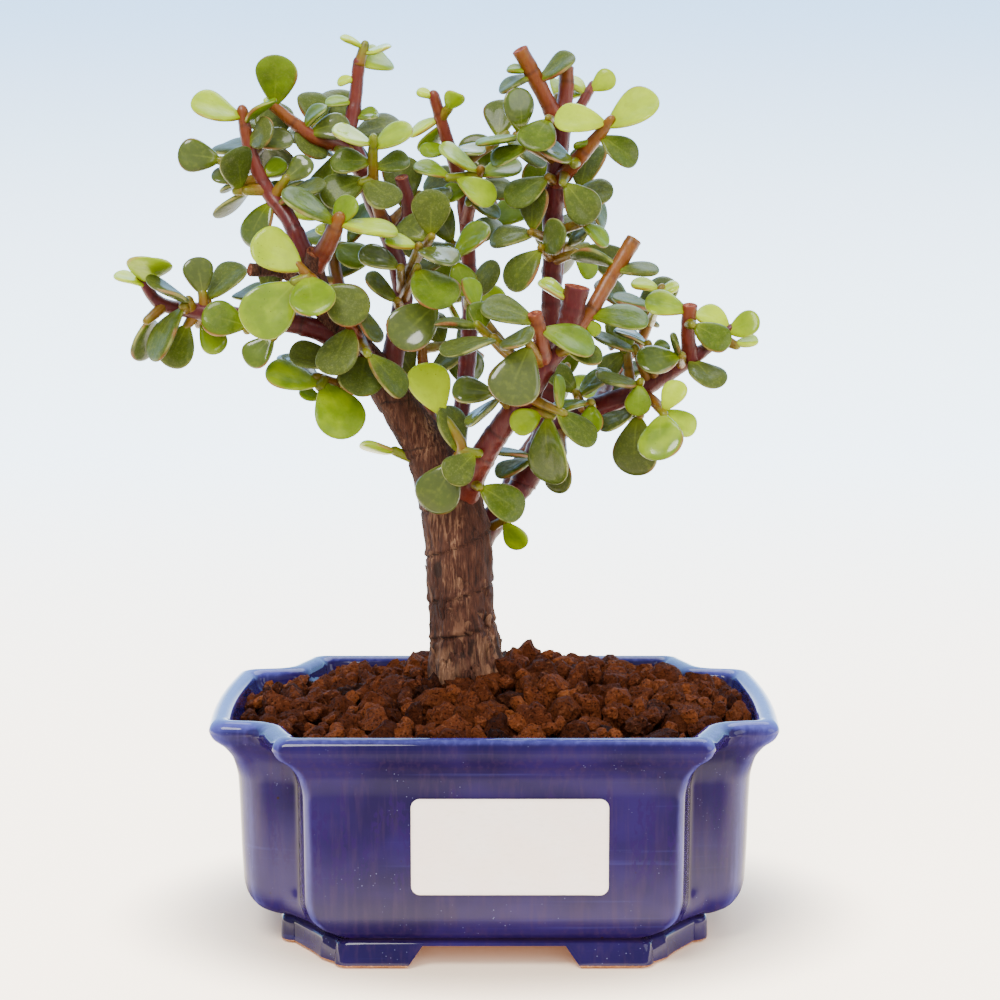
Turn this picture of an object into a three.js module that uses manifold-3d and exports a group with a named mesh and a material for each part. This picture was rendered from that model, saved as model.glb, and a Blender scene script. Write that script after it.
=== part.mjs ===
// A dwarf jade (Portulacaria afra) grown as a bonsai in a glazed pot with notched corners.
// Millimetres, +Z up. The pot, its soil and the plant are laid out round the middle of the pot's underside.
// The whole is then moved: the origin lies on the ground below the middle of pot and crown together.
import * as THREE from "three";
import { mergeVertices } from "three/addons/utils/BufferGeometryUtils.js";
import Module from "manifold-3d";

const wasm = await Module();
wasm.setup();

// ---------------------------------------------------------------- driving dimensions
const POT_PLACE = { x: 10, y: -2 }; // where the pot's middle stands from the origin
const GAP = 0.3; // left between neighbouring pieces
const RIM = { panel: 44.4, depth: 44.3, ear: 62.1, height: 49.2 }; // half sizes of the rim, and its height
const FOOT_HEIGHT = 4.6;
const FLOOR_TOP = 9.4;
const DRAIN = { radius: 5, x: 20, sides: 16 };
const MESH_PLATE = { side: 18, thick: 0.8, hole: 5.6, bar: 1.6, rows: 2 };
const LABEL = { width: 41, height: 20.5, thick: 0.5, corner: 1.8, middle: 26.5, x: 3.3 };
const MOUND = { base: 46, rise: 10.4, x: 4, y: 2, spreadX: 38, spreadY: 27 };
const GRANULE = { pitch: 10.8, high: 1.6, low: -2.4, vary: 1.3, scatter: 0.5, seed: 11 };
const LEAF = { foot: 0.4, thick: 1.6, cup: 0.08, curl: 0.1, ratio: 1.03, sides: 7, longest: 14.5 };
const TWIG = { root: 1.15, tip: 0.95, bud: 0.8, step: 1.3, sides: 3 };
const REAR = { seed: 8, length: [9, 13], leaf: [9.5, 12], lift: 0.55, pairs: 4.5, turn: 40 };
const AVOID = {
  seed: 23, tries: 60, leaf: 1, gap: 0.35, turn: 0.8, swing: [0.012, 0.05, 0.012], shrink: 0.005,
};
const TRIED = { from: 0.28, step: 0.17, to: 0.97, out: 0.85 }; // where along and across a leaf it is tried

// ---------------------------------------------------------------- the wood
// Each limb: its node, the points that its middle runs through and the radii there.
// The first limb of a node grows out of the limb called from.
const LIMBS = {
  trunk: { node: "trunk", sides: 12,
    path: [[-6.5, 0, 43], [-6.8, 0, 51], [-7, 0, 59], [-7.5, 0, 71], [-7.9, 0, 80], [-8.7, 0, 89],
      [-10.3, 0, 97]],
    radii: [8, 8.8, 7.6, 7, 7.4, 6.8, 6.2] },
  left_bough: { node: "trunk", sides: 10,
    path: [[-9.6, 0, 92], [-14.6, -1, 105], [-19.6, -2, 113], [-25.4, -3, 121.7], [-32.4, -5, 130.6],
      [-37.1, -8, 138.3], [-38.5, -11, 144.3], [-37.6, -14, 148.6]],
    radii: [6.4, 5.1, 4.4, 3.9, 3.4, 2.8, 2.3, 2.2] },
  dark_spur: { node: "trunk", path: [[-36, -7, 136.5], [-45, -6, 144], [-52.3, -10, 144.7]],
    radii: [1.7, 1.5, 1.4] },
  low_left: { node: "spray_low_left", from: "left_bough",
    path: [[-31.4, -4.6, 129], [-41.9, -8, 132.9], [-52.4, -10, 134.5], [-62, -10, 135.6],
      [-71.5, -11, 137.7], [-75.4, -12, 143.4]],
    radii: [2.3, 2.2, 2, 1.9, 1.4, 1.1] },
  upper_left: { node: "spray_upper_left", from: "left_bough",
    path: [[-38.2, -10, 142.5], [-41.5, -10, 150.5], [-44.6, -8, 156.4], [-47.8, -6, 160],
      [-51.2, -5, 166.4], [-53, -5, 172.4], [-54, -5, 178.6]],
    radii: [1.9, 1.9, 1.8, 1.7, 1.5, 1.4, 1.2] },
  front_left_low: { node: "spray_front_left_low", from: "left_bough",
    path: [[-27, -3.4, 123.5], [-29, -12, 130], [-33, -17, 137], [-41.5, -17, 146]],
    radii: [1.6, 1.4, 1.3, 1.1] },
  left_hang: { node: "spray_left_hang", from: "left_bough",
    path: [[-25, -3, 121], [-32, -5, 119.6], [-38.5, -8, 121.6]], radii: [1.5, 1.3, 1.1] },
  front_left: { node: "spray_front_left", from: "left_bough",
    path: [[-38.4, -11.5, 145.4], [-35, -15.5, 150.5], [-32.4, -19.3, 155.6]], radii: [1.9, 1.9, 1.5] },
  low_leaf: { node: "sprig_low_left", from: "left_bough",
    path: [[-12.6, -1, 101], [-18.6, -2.4, 103.4], [-22, -3, 105]], radii: [1.2, 1.1, 1] },
  crotch: { node: "spray_crotch", from: "left_bough",
    path: [[-11.6, -0.6, 98.5], [-9, -7, 102.5], [-7, -10.5, 107], [-12, -9, 114.5]],
    radii: [1.5, 1.4, 1.2, 1] },
  mid_leader: { node: "spray_middle", from: "left_bough",
    path: [[-23.6, -2.6, 119.5], [-21.1, 0, 131.4], [-20.3, 2, 140.1], [-22.9, 3, 151], [-26.9, 4, 159.7],
      [-29.1, 5, 167.3], [-31.6, 5, 173.8], [-30.5, 6, 181.4], [-29.6, 6, 189.6]],
    radii: [2.4, 2.3, 2.1, 2, 1.9, 1.8, 1.6, 1.5, 1.3] },
  mid_left: { node: "spray_middle",
    path: [[-28.6, 5, 165.5], [-33.7, 3, 171], [-38.9, 0, 173], [-42.5, -1, 175.5], [-48, -2, 180]],
    radii: [1.7, 1.6, 1.5, 1.4, 1.2] },
  mid_green: { node: "spray_middle",
    path: [[-24.2, 3, 153.5], [-26, -1, 161], [-26.1, -5, 167], [-25.7, -9, 172.6]],
    radii: [1.4, 1.3, 1.2, 1] },
  mid_stub: { node: "spray_middle", path: [[-22.4, 3, 150], [-18.6, 0, 156.4], [-20, -3.6, 164.4]],
    radii: [1.7, 1.6, 1.4] },
  tall_middle: { node: "spray_tall_middle", from: "trunk",
    path: [[-9.6, 1, 95.5], [-8, 7.5, 108], [-6, 14, 125], [-5.6, 17, 137.3], [-6, 18, 148.6],
      [-7.3, 17, 162], [-10, 15, 171], [-13.4, 12, 182.6]],
    radii: [2.1, 2, 1.9, 1.8, 1.7, 1.6, 1.5, 1.3] },
  mid_right: { node: "spray_tall_middle", path: [[-6.4, 17.5, 155], [-4.6, 12, 161.5], [-3, 6, 166.4]],
    radii: [1.4, 1.2, 1] },
  front_bough: { node: "spray_front", from: "trunk", sides: 8,
    path: [[-8.7, 0, 91], [-4.2, -7, 101.3], [1.2, -11, 110.4], [6.6, -14, 117.6], [11, -17, 125.1],
      [14, -16, 129], [16.1, -15, 134.3], [17.5, -16, 141.3]],
    radii: [3.5, 2.9, 2.6, 2.6, 2.4, 2.4, 2.5, 2.7] },
  knuckle: { node: "spray_front", path: [[10.8, -16.6, 124.5], [10.1, -21, 129.3], [8.5, -24, 136]],
    radii: [1.6, 1.6, 1.6] },
  orange_stub: { node: "spray_front",
    path: [[13.6, -16.2, 128], [20.1, -12, 135.2], [24.4, -9, 142.1], [30.1, -7, 151.1]],
    radii: [1.9, 1.7, 1.6, 1.7] },
  right_bough: { node: "spray_right", from: "trunk", sides: 8,
    path: [[-7, 2, 79.5], [1.2, 8, 90], [6.9, 9, 96.7], [11.4, 8, 104], [15.8, 6, 109.9], [22.3, 2, 114],
      [30.9, -1, 117.6], [37.4, -2, 121.6], [43.2, -3, 125.4], [47.6, -3, 128.4], [52, -3, 132]],
    radii: [3, 2.8, 2.7, 2.6, 2.5, 2.4, 2.1, 1.9, 1.6, 1.3, 1] },
  right_stub: { node: "spray_right", path: [[43, -3, 125], [42.1, -5, 130.6], [42.3, -7, 137]],
    radii: [1.6, 1.5, 1.6] },
  right_hang: { node: "spray_right", path: [[32, -1, 117.8], [34.9, -8, 116], [36.4, -14.3, 114]],
    radii: [1.3, 1.2, 1] },
  right_rear: { node: "spray_right",
    path: [[22.8, 2, 114.2], [27.3, 13, 121.4], [33.3, 17, 128.2], [38, 18, 140]],
    radii: [1.6, 1.4, 1.3, 1] },
  tall_right: { node: "spray_tall_right", from: "right_bough", sides: 7,
    path: [[6.4, 9, 96], [11.4, 11.5, 108.3], [12.5, 11.5, 119.6], [12.7, 10, 130.9], [12.8, 9, 142.1],
      [13, 8, 153.1], [13.4, 7, 163], [14.4, 6, 172.8], [14.1, 6, 176.6]],
    radii: [2.5, 2.4, 2.3, 2.3, 2.2, 2.2, 2.2, 2.3, 2.3] },
  top_left_stub: { node: "spray_tall_right", path: [[14.2, 6, 175], [11.6, 5, 181], [5.6, 1, 191.8]],
    radii: [1.8, 1.7, 1.8] },
  top_stub: { node: "spray_tall_right", path: [[14.4, 6, 174.6], [15.7, 7, 182.6], [15.8, 8, 188.5]],
    radii: [1.8, 1.6, 1.7] },
  top_shoot: { node: "spray_tall_right", path: [[14.6, 6, 173.6], [18.5, 9, 179.4], [21.9, 12, 185]],
    radii: [1.4, 1.2, 1] },
  side_shoot: { node: "spray_tall_right",
    path: [[13.2, 7, 162.6], [17.6, 2, 167.7], [21.8, -2, 172.5], [25, -5, 176.6]],
    radii: [1.7, 1.6, 1.4, 1.1] },
  tall_rear: { node: "spray_tall_right",
    path: [[12.7, 10, 130], [14, 19, 140], [15, 25, 150], [14, 28, 161]], radii: [1.5, 1.4, 1.2, 1] },
  rear_left: { node: "spray_rear_left", from: "left_bough",
    path: [[-23, -2, 118], [-29, 9, 127], [-34, 18, 136], [-37, 25, 146], [-38, 29, 155]],
    radii: [2, 1.8, 1.6, 1.3, 1] },
  rear_middle: { node: "spray_rear_middle", from: "trunk",
    path: [[-8.4, 0, 84], [-12, 12, 98], [-15, 22, 112], [-17, 31, 125], [-16, 36, 138]],
    radii: [2, 1.8, 1.6, 1.3, 1] },
  rear_right: { node: "spray_rear_right", from: "right_bough",
    path: [[1.4, 8, 90.2], [5, 18, 99], [12, 27, 109], [17, 34, 121]], radii: [1.8, 1.6, 1.4, 1] },
};

// Each shoot: its limb, the place of its tip, and the leaves there. Each leaf is the way from the tip of the
// shoot to the tip of the leaf, and the angle in degrees that its face is turned from the light.
const SHOOTS = [
  ["front_bough", [7.5, -25, 129.5], [-5, -6, -11, -15]],
  ["knuckle", [9, -24, 134.5], [-11, -0.5, 4.5, 5], [11.5, -1, -3.5, -5]],
  ["front_bough", [0.5, -23, 130.5], [-12, -0.5, 0, 20], [7, -0.5, 3.5, -5]],
  ["front_bough", [-3, -22, 133], [-9, -0.5, 1.5, 30], [-1, 2, 6, 10]],
  ["front_left", [-32.5, -20, 154], [12.5, 0, -1, -20]],
  ["front_bough", [15, -20, 128], [7.5, -0.5, -1, 5]],
  ["front_left", [-33.5, -19, 155], [-10, -3, 7.5, 15], [3.5, -0.5, 6.5, 5]],
  ["front_left_low", [-41.5, -18, 142.5], [-9.5, -5.5, -10, -30]],
  ["front_left_low", [-37, -18, 143], [9.5, -3.5, -5.5, 35]],
  ["front_bough", [14, -18, 115], [0, 0, 7.5, 70], [8.5, -1.5, -6.5, -10]],
  ["front_left_low", [-41, -17, 145.5], [-9.5, -3, 7, -25], [1.5, -5.5, -6.5, 0]],
  ["front_left_low", [-27, -17, 127.5], [8, -1, -8.5, -20]],
  ["front_bough", [15, -17, 139.5], [-7, 0, 4.5, 20]],
  ["front_bough", [0.5, -16, 118.5], [-9, -0.5, 1.5, -10], [-7, -4, -5, 40]],
  ["front_left_low", [-30.5, -15, 133.5], [-2.5, -1.5, -10, 5]],
  ["mid_leader", [-16, -15, 149.5], [-6.5, -1, 2, 5], [8, 0, 0, -10]],
  ["front_bough", [11.5, -15, 114], [0.5, -2, -14.5, 50], [-6, -3.5, -2.5, -35]],
  ["low_left", [-66, -14, 137], [-8.5, -3, -10, 25]],
  ["mid_leader", [-13.5, -14, 151.5], [0.5, -3.5, 9.5, 5], [-5.5, -1, 5, -15]],
  ["front_bough", [-3.5, -14, 136], [-2, 1, 7, 30]],
  ["right_hang", [36.5, -14, 114.5], [3.5, -0.5, 6.5, -5], [7, -1.5, -4, 5]],
  ["right_hang", [37, -14.5, 114], [0, -2, -10.5, 10]],
  ["low_left", [-73.5, -13, 134.5], [-2.5, -1, -9, 5]],
  ["low_left", [-65, -13, 138], [-5, -2, 3.5, -15]],
  ["low_left", [-75, -12, 143], [3.5, -9.5, 6, -35], [-6, -2.5, 3, 20]],
  ["low_left", [-52.5, -12, 132.5], [-9, -2.5, 3, -35]],
  ["low_left", [-47, -12, 131], [-5.5, -1.5, -6, -15]],
  ["mid_leader", [-12, -12, 137.5], [-8.5, -6.5, -7.5, -25]],
  ["crotch", [-4, -12, 105.5], [-5.5, -5, -5, -25]],
  ["mid_leader", [-16.5, -12, 145], [8.5, -3, -9.5, -10]],
  ["mid_leader", [-20, -11, 145], [-8, -1.5, 4, -5]],
  ["orange_stub", [21.5, -11, 134.5], [12.5, -2, 0, -10], [4, -5, -3, 20]],
  ["low_left", [-62.5, -10, 139], [-1, -1, 8, 5]],
  ["low_left", [-65.5, -10, 133.5], [-4.5, -1.5, -9, -20]],
  ["crotch", [-7.5, -10, 105], [-2.5, 0.5, 10.5, 30], [-6.5, -2, -10.5, -15]],
  ["front_bough", [-3.5, -10, 98], [9.5, -1, -5.5, 15]],
  ["left_hang", [-37.5, -9, 120], [-11, -2.5, 3.5, 0], [7.5, -1, -14, -10]],
  ["mid_green", [-25.5, -9, 171.5], [-8, -2, 3.5, 5], [7.5, -0.5, 5.5, 0]],
  ["right_bough", [31.5, -9, 120.5], [-0.5, -5, -7, 0], [-8, -3, 2, 10]],
  ["front_left_low", [-29.5, -9, 137.5], [3.5, -1, -8.5, -30]],
  ["crotch", [-11, -10, 114.5], [-4.5, -1.5, 11, 5]],
  ["low_left", [-63.5, -8, 133.5], [4.5, -1, -6, 10]],
  ["low_left", [-62, -8, 138], [7.5, 1, 8, -10]],
  ["right_bough", [21, -8, 116], [0, -3, -6, 10], [-8, -5, 0, 30]],
  ["right_bough", [40.5, -8, 126], [-10.5, 0, -1.5, -10], [-2, -3, 5, 20]],
  ["right_stub", [42, -8, 136], [-9, 0.5, 3, -5]],
  ["right_stub", [42.5, -8, 133], [8, -1.5, -4, 15]],
  ["left_hang", [-32.5, -8, 124], [-10, -3, 4, 0]],
  ["upper_left", [-54.5, -7, 161.5], [-0.5, -2, 9.5, 45]],
  ["upper_left", [-50.5, -7, 161.5], [5.5, 0, 6.5, 5]],
  ["upper_left", [-52.5, -7, 161.5], [-8, -2, -2, 5]],
  ["upper_left", [-45, -7, 163.5], [5.5, 0, 4.5, 20]],
  ["orange_stub", [27, -7, 146.5], [-9.5, 0.5, 3, 55], [9, -1.5, 1, -15]],
  ["front_left_low", [-28.5, -8.5, 126], [-3, -1, -9, 0]],
  ["upper_left", [-48.5, -6, 159.5], [-6, -1, -9, 5], [8, 3, 7, 0]],
  ["mid_green", [-25.5, -6, 167.5], [-8.5, -1.5, 0.5, -15], [7.5, 0, 2, 10]],
  ["right_bough", [15, -6, 105], [-1.5, -1, -8.5, 25]],
  ["right_bough", [31.5, -6, 113.5], [-1.5, -1.5, -13, 20], [-8, -3, -3, 20]],
  ["right_bough", [33.5, -6, 128], [-7, -3, 4, 20], [5, -3, 3, 20]],
  ["upper_left", [-54, -5, 178], [-10, -4, 3.5, -5], [7.5, 0, 6.5, -30]],
  ["upper_left", [-52, -5, 172.5], [9, 0.5, 2, 5]],
  ["upper_left", [-58.5, -5, 168], [-8.5, -3, 1.5, -45]],
  ["side_shoot", [24, -5, 176.5], [-11, 0, 1.5, -10], [10.5, -3, 6.5, 10]],
  ["left_hang", [-37.5, -5, 116.5], [-4.5, -1, 2, -5]],
  ["upper_left", [-51.5, -4, 172.5], [9, 2, 2, 30], [-8, 7, 2, 0]],
  ["mid_green", [-28, -4.5, 163.5], [8.5, -1, -4, 0], [-10, -4, -3, -20]],
  ["side_shoot", [23, -4, 173], [8, -0.5, -5.5, 10], [-5, 3, -3, 40]],
  ["right_bough", [18, -4, 117.5], [-5.5, 0.5, 6, -5], [6.5, -0.5, 6, -15]],
  ["right_bough", [31, -4, 127], [-9, -3, 4, 20]],
  ["right_bough", [43.5, -5, 125], [7, -3, -4.5, -5]],
  ["right_bough", [52, -4, 128.5], [5, -1, 1, -10]],
  ["upper_left", [-52, -4, 169.5], [-7, 4, -3, 0]],
  ["low_leaf", [-21.6, -3, 104.8], [-8, 0, 2, 60]],
  ["right_bough", [52.5, -3, 132], [-7, -1.5, 4.5, 0], [5.5, 2, 2, 30]],
  ["mid_leader", [-21, -3, 137.5], [-6, -3, 6, 10]],
  ["mid_left", [-48.5, -2, 179], [1, -5, 10, 20], [-3.5, -1.5, 2.5, 0]],
  ["mid_left", [-41, -2, 175.5], [4, -0.5, 5.5, -20], [8, 0, 4, 20]],
  ["left_hang", [-38, -2, 119.5], [-10.5, -2.5, 8, 25]],
  ["tall_middle", [-9, -2, 147], [7, -3, 7, 0], [3, -2, -7, 10]],
  ["tall_right", [7.5, -2, 171], [-8, -0.5, -3, 5]],
  ["side_shoot", [17.5, -1, 167.5], [-8, -0.5, 3.5, 0]],
  ["side_shoot", [15, -1, 163.5], [6.5, -1, -8, 20]],
  ["tall_right", [5.5, 0, 173.5], [0, -2.5, 9.5, 35], [-10, -4, -1, 30]],
  ["tall_right", [12, 0, 177], [-6.5, -1, -6.5, -5]],
  ["top_left_stub", [6.5, 1, 187.5], [-5, 0, 0.5, 10]],
  ["right_bough", [2, 1, 89], [4, -1, -6, 60]],
  ["tall_right", [12, 2, 164.5], [-9, -3, -5, 0]],
  ["tall_right", [8.5, 2, 152.5], [0.5, -1.5, 9.5, -35], [-10, 0, -1, 5]],
  ["tall_right", [10.5, 2, 149], [-7.5, -1, -8, 0], [3.5, -4.5, 5.5, 70]],
  ["tall_right", [19, 2, 154.5], [6, -0.5, -4, -5]],
  ["tall_right", [17.5, 2, 148], [4.5, -0.5, -4.5, 10]],
  ["mid_leader", [-33.5, 2, 170.5], [-4, -3, -14, 20]],
  ["mid_right", [-9.5, 3, 164.5], [-7.5, -1, 3, 5], [8, -3, -5, 0]],
  ["top_left_stub", [10, 3, 186.5], [7.5, -2, 5.5, -5]],
  ["top_left_stub", [7, 3, 186.5], [-7.5, -0.5, -2.5, 15]],
  ["right_bough", [8.5, 3, 103], [-8, -3, 2, 30], [-8, -3, -3, 20]],
  ["mid_leader", [-32, 5, 182], [-6, -1, 0.5, 5]],
  ["mid_leader", [-30.5, 5, 179], [5.5, 0, 1, 5]],
  ["mid_leader", [-28.5, 6, 192.5], [-4.5, -1.5, 2.5, 20], [6, 0, 2, -20]],
  ["mid_leader", [-31.5, 6, 187], [-4, -0.5, 0, 0]],
  ["mid_leader", [-28, 6, 189], [5, -0.5, 3, 10]],
  ["mid_right", [-3.5, 6, 166], [-8.5, -1.5, 5.5, 10], [9, -0.5, 3, 5]],
  ["mid_right", [-5.5, 8, 159.5], [6.5, -0.5, -3, -5]],
  ["mid_right", [-5, 8, 163], [-6, -0.5, -2.5, -10]],
  ["tall_right", [14, 9, 181.5], [6, 3, 4, 30]],
  ["right_rear", [36, 10, 135], [-9, -2, 4, 20]],
  ["tall_middle", [-6, 11, 137.5], [6, -4, 8, 0], [3, -3, -5, 10]],
  ["tall_middle", [-12, 12, 182.5], [-3.5, -0.5, 2, 5]],
  ["tall_middle", [-10.5, 12, 179.5], [2.5, -4, 3.5, -70]],
  ["top_shoot", [22, 12, 183.5], [5, -1.5, 3.5, 40], [-5, 4, 5, 20]],
  ["tall_middle", [-11, 13, 179.5], [-7, -0.5, -2.5, 0], [-8, -3, -4, 30]],
  ["tall_middle", [-10.5, 15, 173], [-6.5, 0, -1.5, 5], [7.5, 0, 0.5, -15]],
  ["right_rear", [39, 18, 141], [-6, 0.5, 2.5, 10], [4, -1, 3, -5]],
];

// How many shoots grow by rule from the far side of each limb.
const REAR_SHOOTS = {
  low_left: 1, upper_left: 2, mid_leader: 2, mid_left: 1, tall_middle: 3, right_bough: 2, right_rear: 1,
  tall_right: 1, tall_rear: 2, rear_left: 3, rear_middle: 3, rear_right: 1,
};

// ---------------------------------------------------------------- small helpers
function seeded(seed) {
  let state = seed;
  return () => {
    state = (state + 0x6d2b79f5) | 0;
    let t = Math.imul(state ^ (state >>> 15), 1 | state);
    t = (t + Math.imul(t ^ (t >>> 7), 61 | t)) ^ t;
    return ((t ^ (t >>> 14)) >>> 0) / 4294967296;
  };
}

const vec = (p) => new THREE.Vector3(p[0], p[1], p[2]);
const mix = (a, b, t) => a + (b - a) * t;

function solid(geometry) {
  const bare = geometry.clone();
  bare.deleteAttribute("normal");
  bare.deleteAttribute("uv");
  const merged = mergeVertices(bare, 1e-4);
  return new wasm.Manifold(
    new wasm.Mesh({
      numProp: 3,
      vertProperties: new Float32Array(merged.attributes.position.array),
      triVerts: new Uint32Array(merged.index.array),
    }),
  );
}

function toGeometry(made) {
  const mesh = made.getMesh();
  const count = mesh.vertProperties.length / mesh.numProp;
  const places = new Float32Array(count * 3);
  for (let i = 0; i < count; i++) {
    places.set(mesh.vertProperties.subarray(i * mesh.numProp, i * mesh.numProp + 3), i * 3);
  }
  const geometry = new THREE.BufferGeometry();
  geometry.setAttribute("position", new THREE.BufferAttribute(places, 3));
  geometry.setIndex(new THREE.BufferAttribute(new Uint32Array(mesh.triVerts), 1));
  geometry.computeVertexNormals();
  return geometry;
}

// The largest body of a solid, without the scraps that a cut leaves.
function wholeOf(made) {
  return made.decompose().sort((a, b) => b.volume() - a.volume())[0];
}

// Moves every vertex of a geometry to the place that a function gives for it.
function reshape(geometry, place) {
  const p = geometry.attributes.position;
  for (let i = 0; i < p.count; i++) {
    const [x, y, z] = place(p.getX(i), p.getY(i), p.getZ(i), i);
    p.setXYZ(i, x, y, z);
  }
  return geometry;
}

// ---------------------------------------------------------------- the pot
// Outside levels of the pot from the foot up. Half sizes: panel (straight front and back), depth, ear (side
// lobe), arm (how far forward the lobe reaches), and the crease of lobe and panel, at notchX, notchY.
const LEVELS = [
  { z: 0, panel: 33.7, depth: 39.8, ear: 47.5, arm: 23.6, notchX: 38, notchY: 31.5, round: 3 },
  { z: 4.9, panel: 33.1, depth: 38.7, ear: 47.4, arm: 23.1, notchX: 37.5, notchY: 30.8, round: 3 },
  { z: 5.9, panel: 32.2, depth: 37.6, ear: 46.6, arm: 22.6, notchX: 36.8, notchY: 30, round: 3 },
  { z: 6.5, panel: 33.6, depth: 38.5, ear: 49.2, arm: 23.9, notchX: 38.3, notchY: 30.4, round: 4 },
  { z: 8.2, panel: 36.6, depth: 39.6, ear: 52.9, arm: 25.8, notchX: 40.2, notchY: 30, round: 6 },
  { z: 11, panel: 38.8, depth: 40.3, ear: 55.1, arm: 26.7, notchX: 41.3, notchY: 29, round: 8 },
  { z: 14.5, panel: 39.6, depth: 40.4, ear: 55.8, arm: 26.8, notchX: 41.4, notchY: 28.2, round: 8 },
  { z: 36, panel: 39.8, depth: 40.4, ear: 56.6, arm: 27, notchX: 41.6, notchY: 28, round: 8 },
  { z: 40.5, panel: 40.6, depth: 40.9, ear: 57.4, arm: 27.3, notchX: 42.6, notchY: 28.3, round: 7 },
  { z: 43.6, panel: 42, depth: 42.2, ear: 59.2, arm: 27.8, notchX: 44.4, notchY: 28.8, round: 5.5 },
  { z: 45.8, panel: 43.9, depth: 43.8, ear: 61.4, arm: 28.4, notchX: 46.6, notchY: 29.2, round: 4 },
  { z: 47.6, panel: RIM.panel, depth: RIM.depth, ear: RIM.ear, arm: 28.7, notchX: 47.3, notchY: 29.4,
    round: 3.4 },
  { z: RIM.height, panel: 43.2, depth: 43.1, ear: 60.9, arm: 27.8, notchX: 46.2, notchY: 28.6, round: 3.2 },
];
// The cavity: at each level, how far its wall stands in from the outside there.
const INSIDE = [
  { z: FLOOR_TOP, wall: 5.2 },
  { z: 36, wall: 3.6 },
  { z: 43.6, wall: 4.6 },
  { z: 47.6, wall: 4.4 },
  { z: RIM.height, wall: 1.6 },
];
const CORNER_STEPS = 2;
const EAR_BULGE = 0.045; // how far the lobe's side swells, as a share of the arm

const inward = (level, by) => ({
  z: level.z,
  panel: level.panel - by,
  depth: level.depth - by,
  ear: level.ear - by,
  arm: level.arm - by,
  notchX: level.notchX - by,
  notchY: level.notchY - by,
  round: level.round,
});

// One quarter of the notched plan, from the middle of the front panel to the middle of the ear.
function quarterPlan(level) {
  const corner = Math.min(2.6, level.round);
  const points = [[0, level.depth], [level.panel * 0.55, level.depth]];
  for (let i = 0; i <= CORNER_STEPS; i++) {
    const a = (i / CORNER_STEPS) * (Math.PI / 2);
    points.push([level.panel - corner + corner * Math.sin(a), level.depth - corner + corner * Math.cos(a)]);
  }
  points.push([mix(level.notchX, level.panel, 0.3), mix(level.notchY, level.depth, 0.35)]);
  points.push([level.notchX, level.notchY]);
  const swell = level.arm * EAR_BULGE;
  for (let i = 0; i <= CORNER_STEPS + 1; i++) {
    const a = (i / (CORNER_STEPS + 1)) * (Math.PI / 2) * 0.94;
    points.push([
      level.ear - swell - level.round + level.round * Math.sin(a),
      level.arm - level.round + level.round * Math.cos(a),
    ]);
  }
  points.push([level.ear - swell * 0.3, level.arm * 0.42]);
  points.push([level.ear, 0]);
  return points;
}

// The whole plan, anticlockwise from the middle of the back panel.
function plan(level) {
  const quarter = quarterPlan(level);
  const inner = quarter.slice(1, -1);
  const backRight = [quarter[0], ...inner, quarter[quarter.length - 1]];
  const frontRight = [...inner].reverse().map(([x, y]) => [x, -y]);
  const half = [...backRight, ...frontRight, [0, -level.depth]];
  const left = half.slice(1, -1).reverse().map(([x, y]) => [-x, y]);
  return [...half, ...left].reverse();
}

// A closed body whose section at each level is the plan there, made from a turned one.
function loft(levels) {
  const outlines = levels.map(plan);
  const count = outlines[0].length;
  const profile = [new THREE.Vector2(0, levels[0].z)];
  levels.forEach((level) => profile.push(new THREE.Vector2(1, level.z)));
  profile.push(new THREE.Vector2(0, levels[levels.length - 1].z));
  const turned = new THREE.LatheGeometry(profile, count);
  return reshape(turned, (x, y, z, index) => {
    const along = index % profile.length;
    const round = Math.floor(index / profile.length) % count;
    if (along === 0 || along === profile.length - 1) return [0, 0, y];
    const [px, py] = outlines[along - 1][round];
    return [px, py, y];
  });
}

function box(low, high) {
  const size = [0, 1, 2].map((i) => high[i] - low[i]);
  const geometry = new THREE.BoxGeometry(size[0], size[1], size[2]);
  return geometry.translate(low[0] + size[0] / 2, low[1] + size[1] / 2, low[2] + size[2] / 2);
}

function upright(radius, low, high, x, y, sides) {
  const geometry = new THREE.CylinderGeometry(radius, radius, high - low, sides);
  return geometry.rotateX(Math.PI / 2).translate(x, y, (low + high) / 2);
}

// A trapezium prism across the pot, wider at the floor, that parts two feet.
function footGap(top, foot, reach, turned) {
  const shape = new THREE.Shape();
  shape.moveTo(-foot, -1);
  shape.lineTo(foot, -1);
  shape.lineTo(top, FOOT_HEIGHT);
  shape.lineTo(-top, FOOT_HEIGHT);
  shape.closePath();
  const prism = new THREE.ExtrudeGeometry(shape, { depth: 2 * reach, bevelEnabled: false });
  prism.translate(0, 0, -reach).rotateX(Math.PI / 2);
  return turned ? prism.rotateZ(Math.PI / 2) : prism;
}

// The levels of the cavity, or of what fills it when a gap is left.
function cavityLevels(gap) {
  return INSIDE.map(({ z, wall }) => inward(levelAt(z), wall + gap));
}

function makePot() {
  const inner = cavityLevels(0);
  inner.push({ ...inner[inner.length - 1], z: RIM.height + 1 });
  const hollow = [{ ...inward(LEVELS[0], 6), z: -1 }, { ...inward(LEVELS[0], 6), z: FOOT_HEIGHT }];
  let pot = solid(loft(LEVELS)).subtract(solid(loft(inner))).subtract(solid(loft(hollow)));
  pot = pot.subtract(solid(footGap(15, 19, RIM.depth + 2, false)));
  pot = pot.subtract(solid(footGap(7, 10, RIM.ear + 2, true)));
  for (const x of [-DRAIN.x, DRAIN.x]) {
    pot = pot.subtract(solid(upright(DRAIN.radius, 0, FLOOR_TOP + 2, x, 0, DRAIN.sides)));
  }
  return pot;
}

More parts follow.
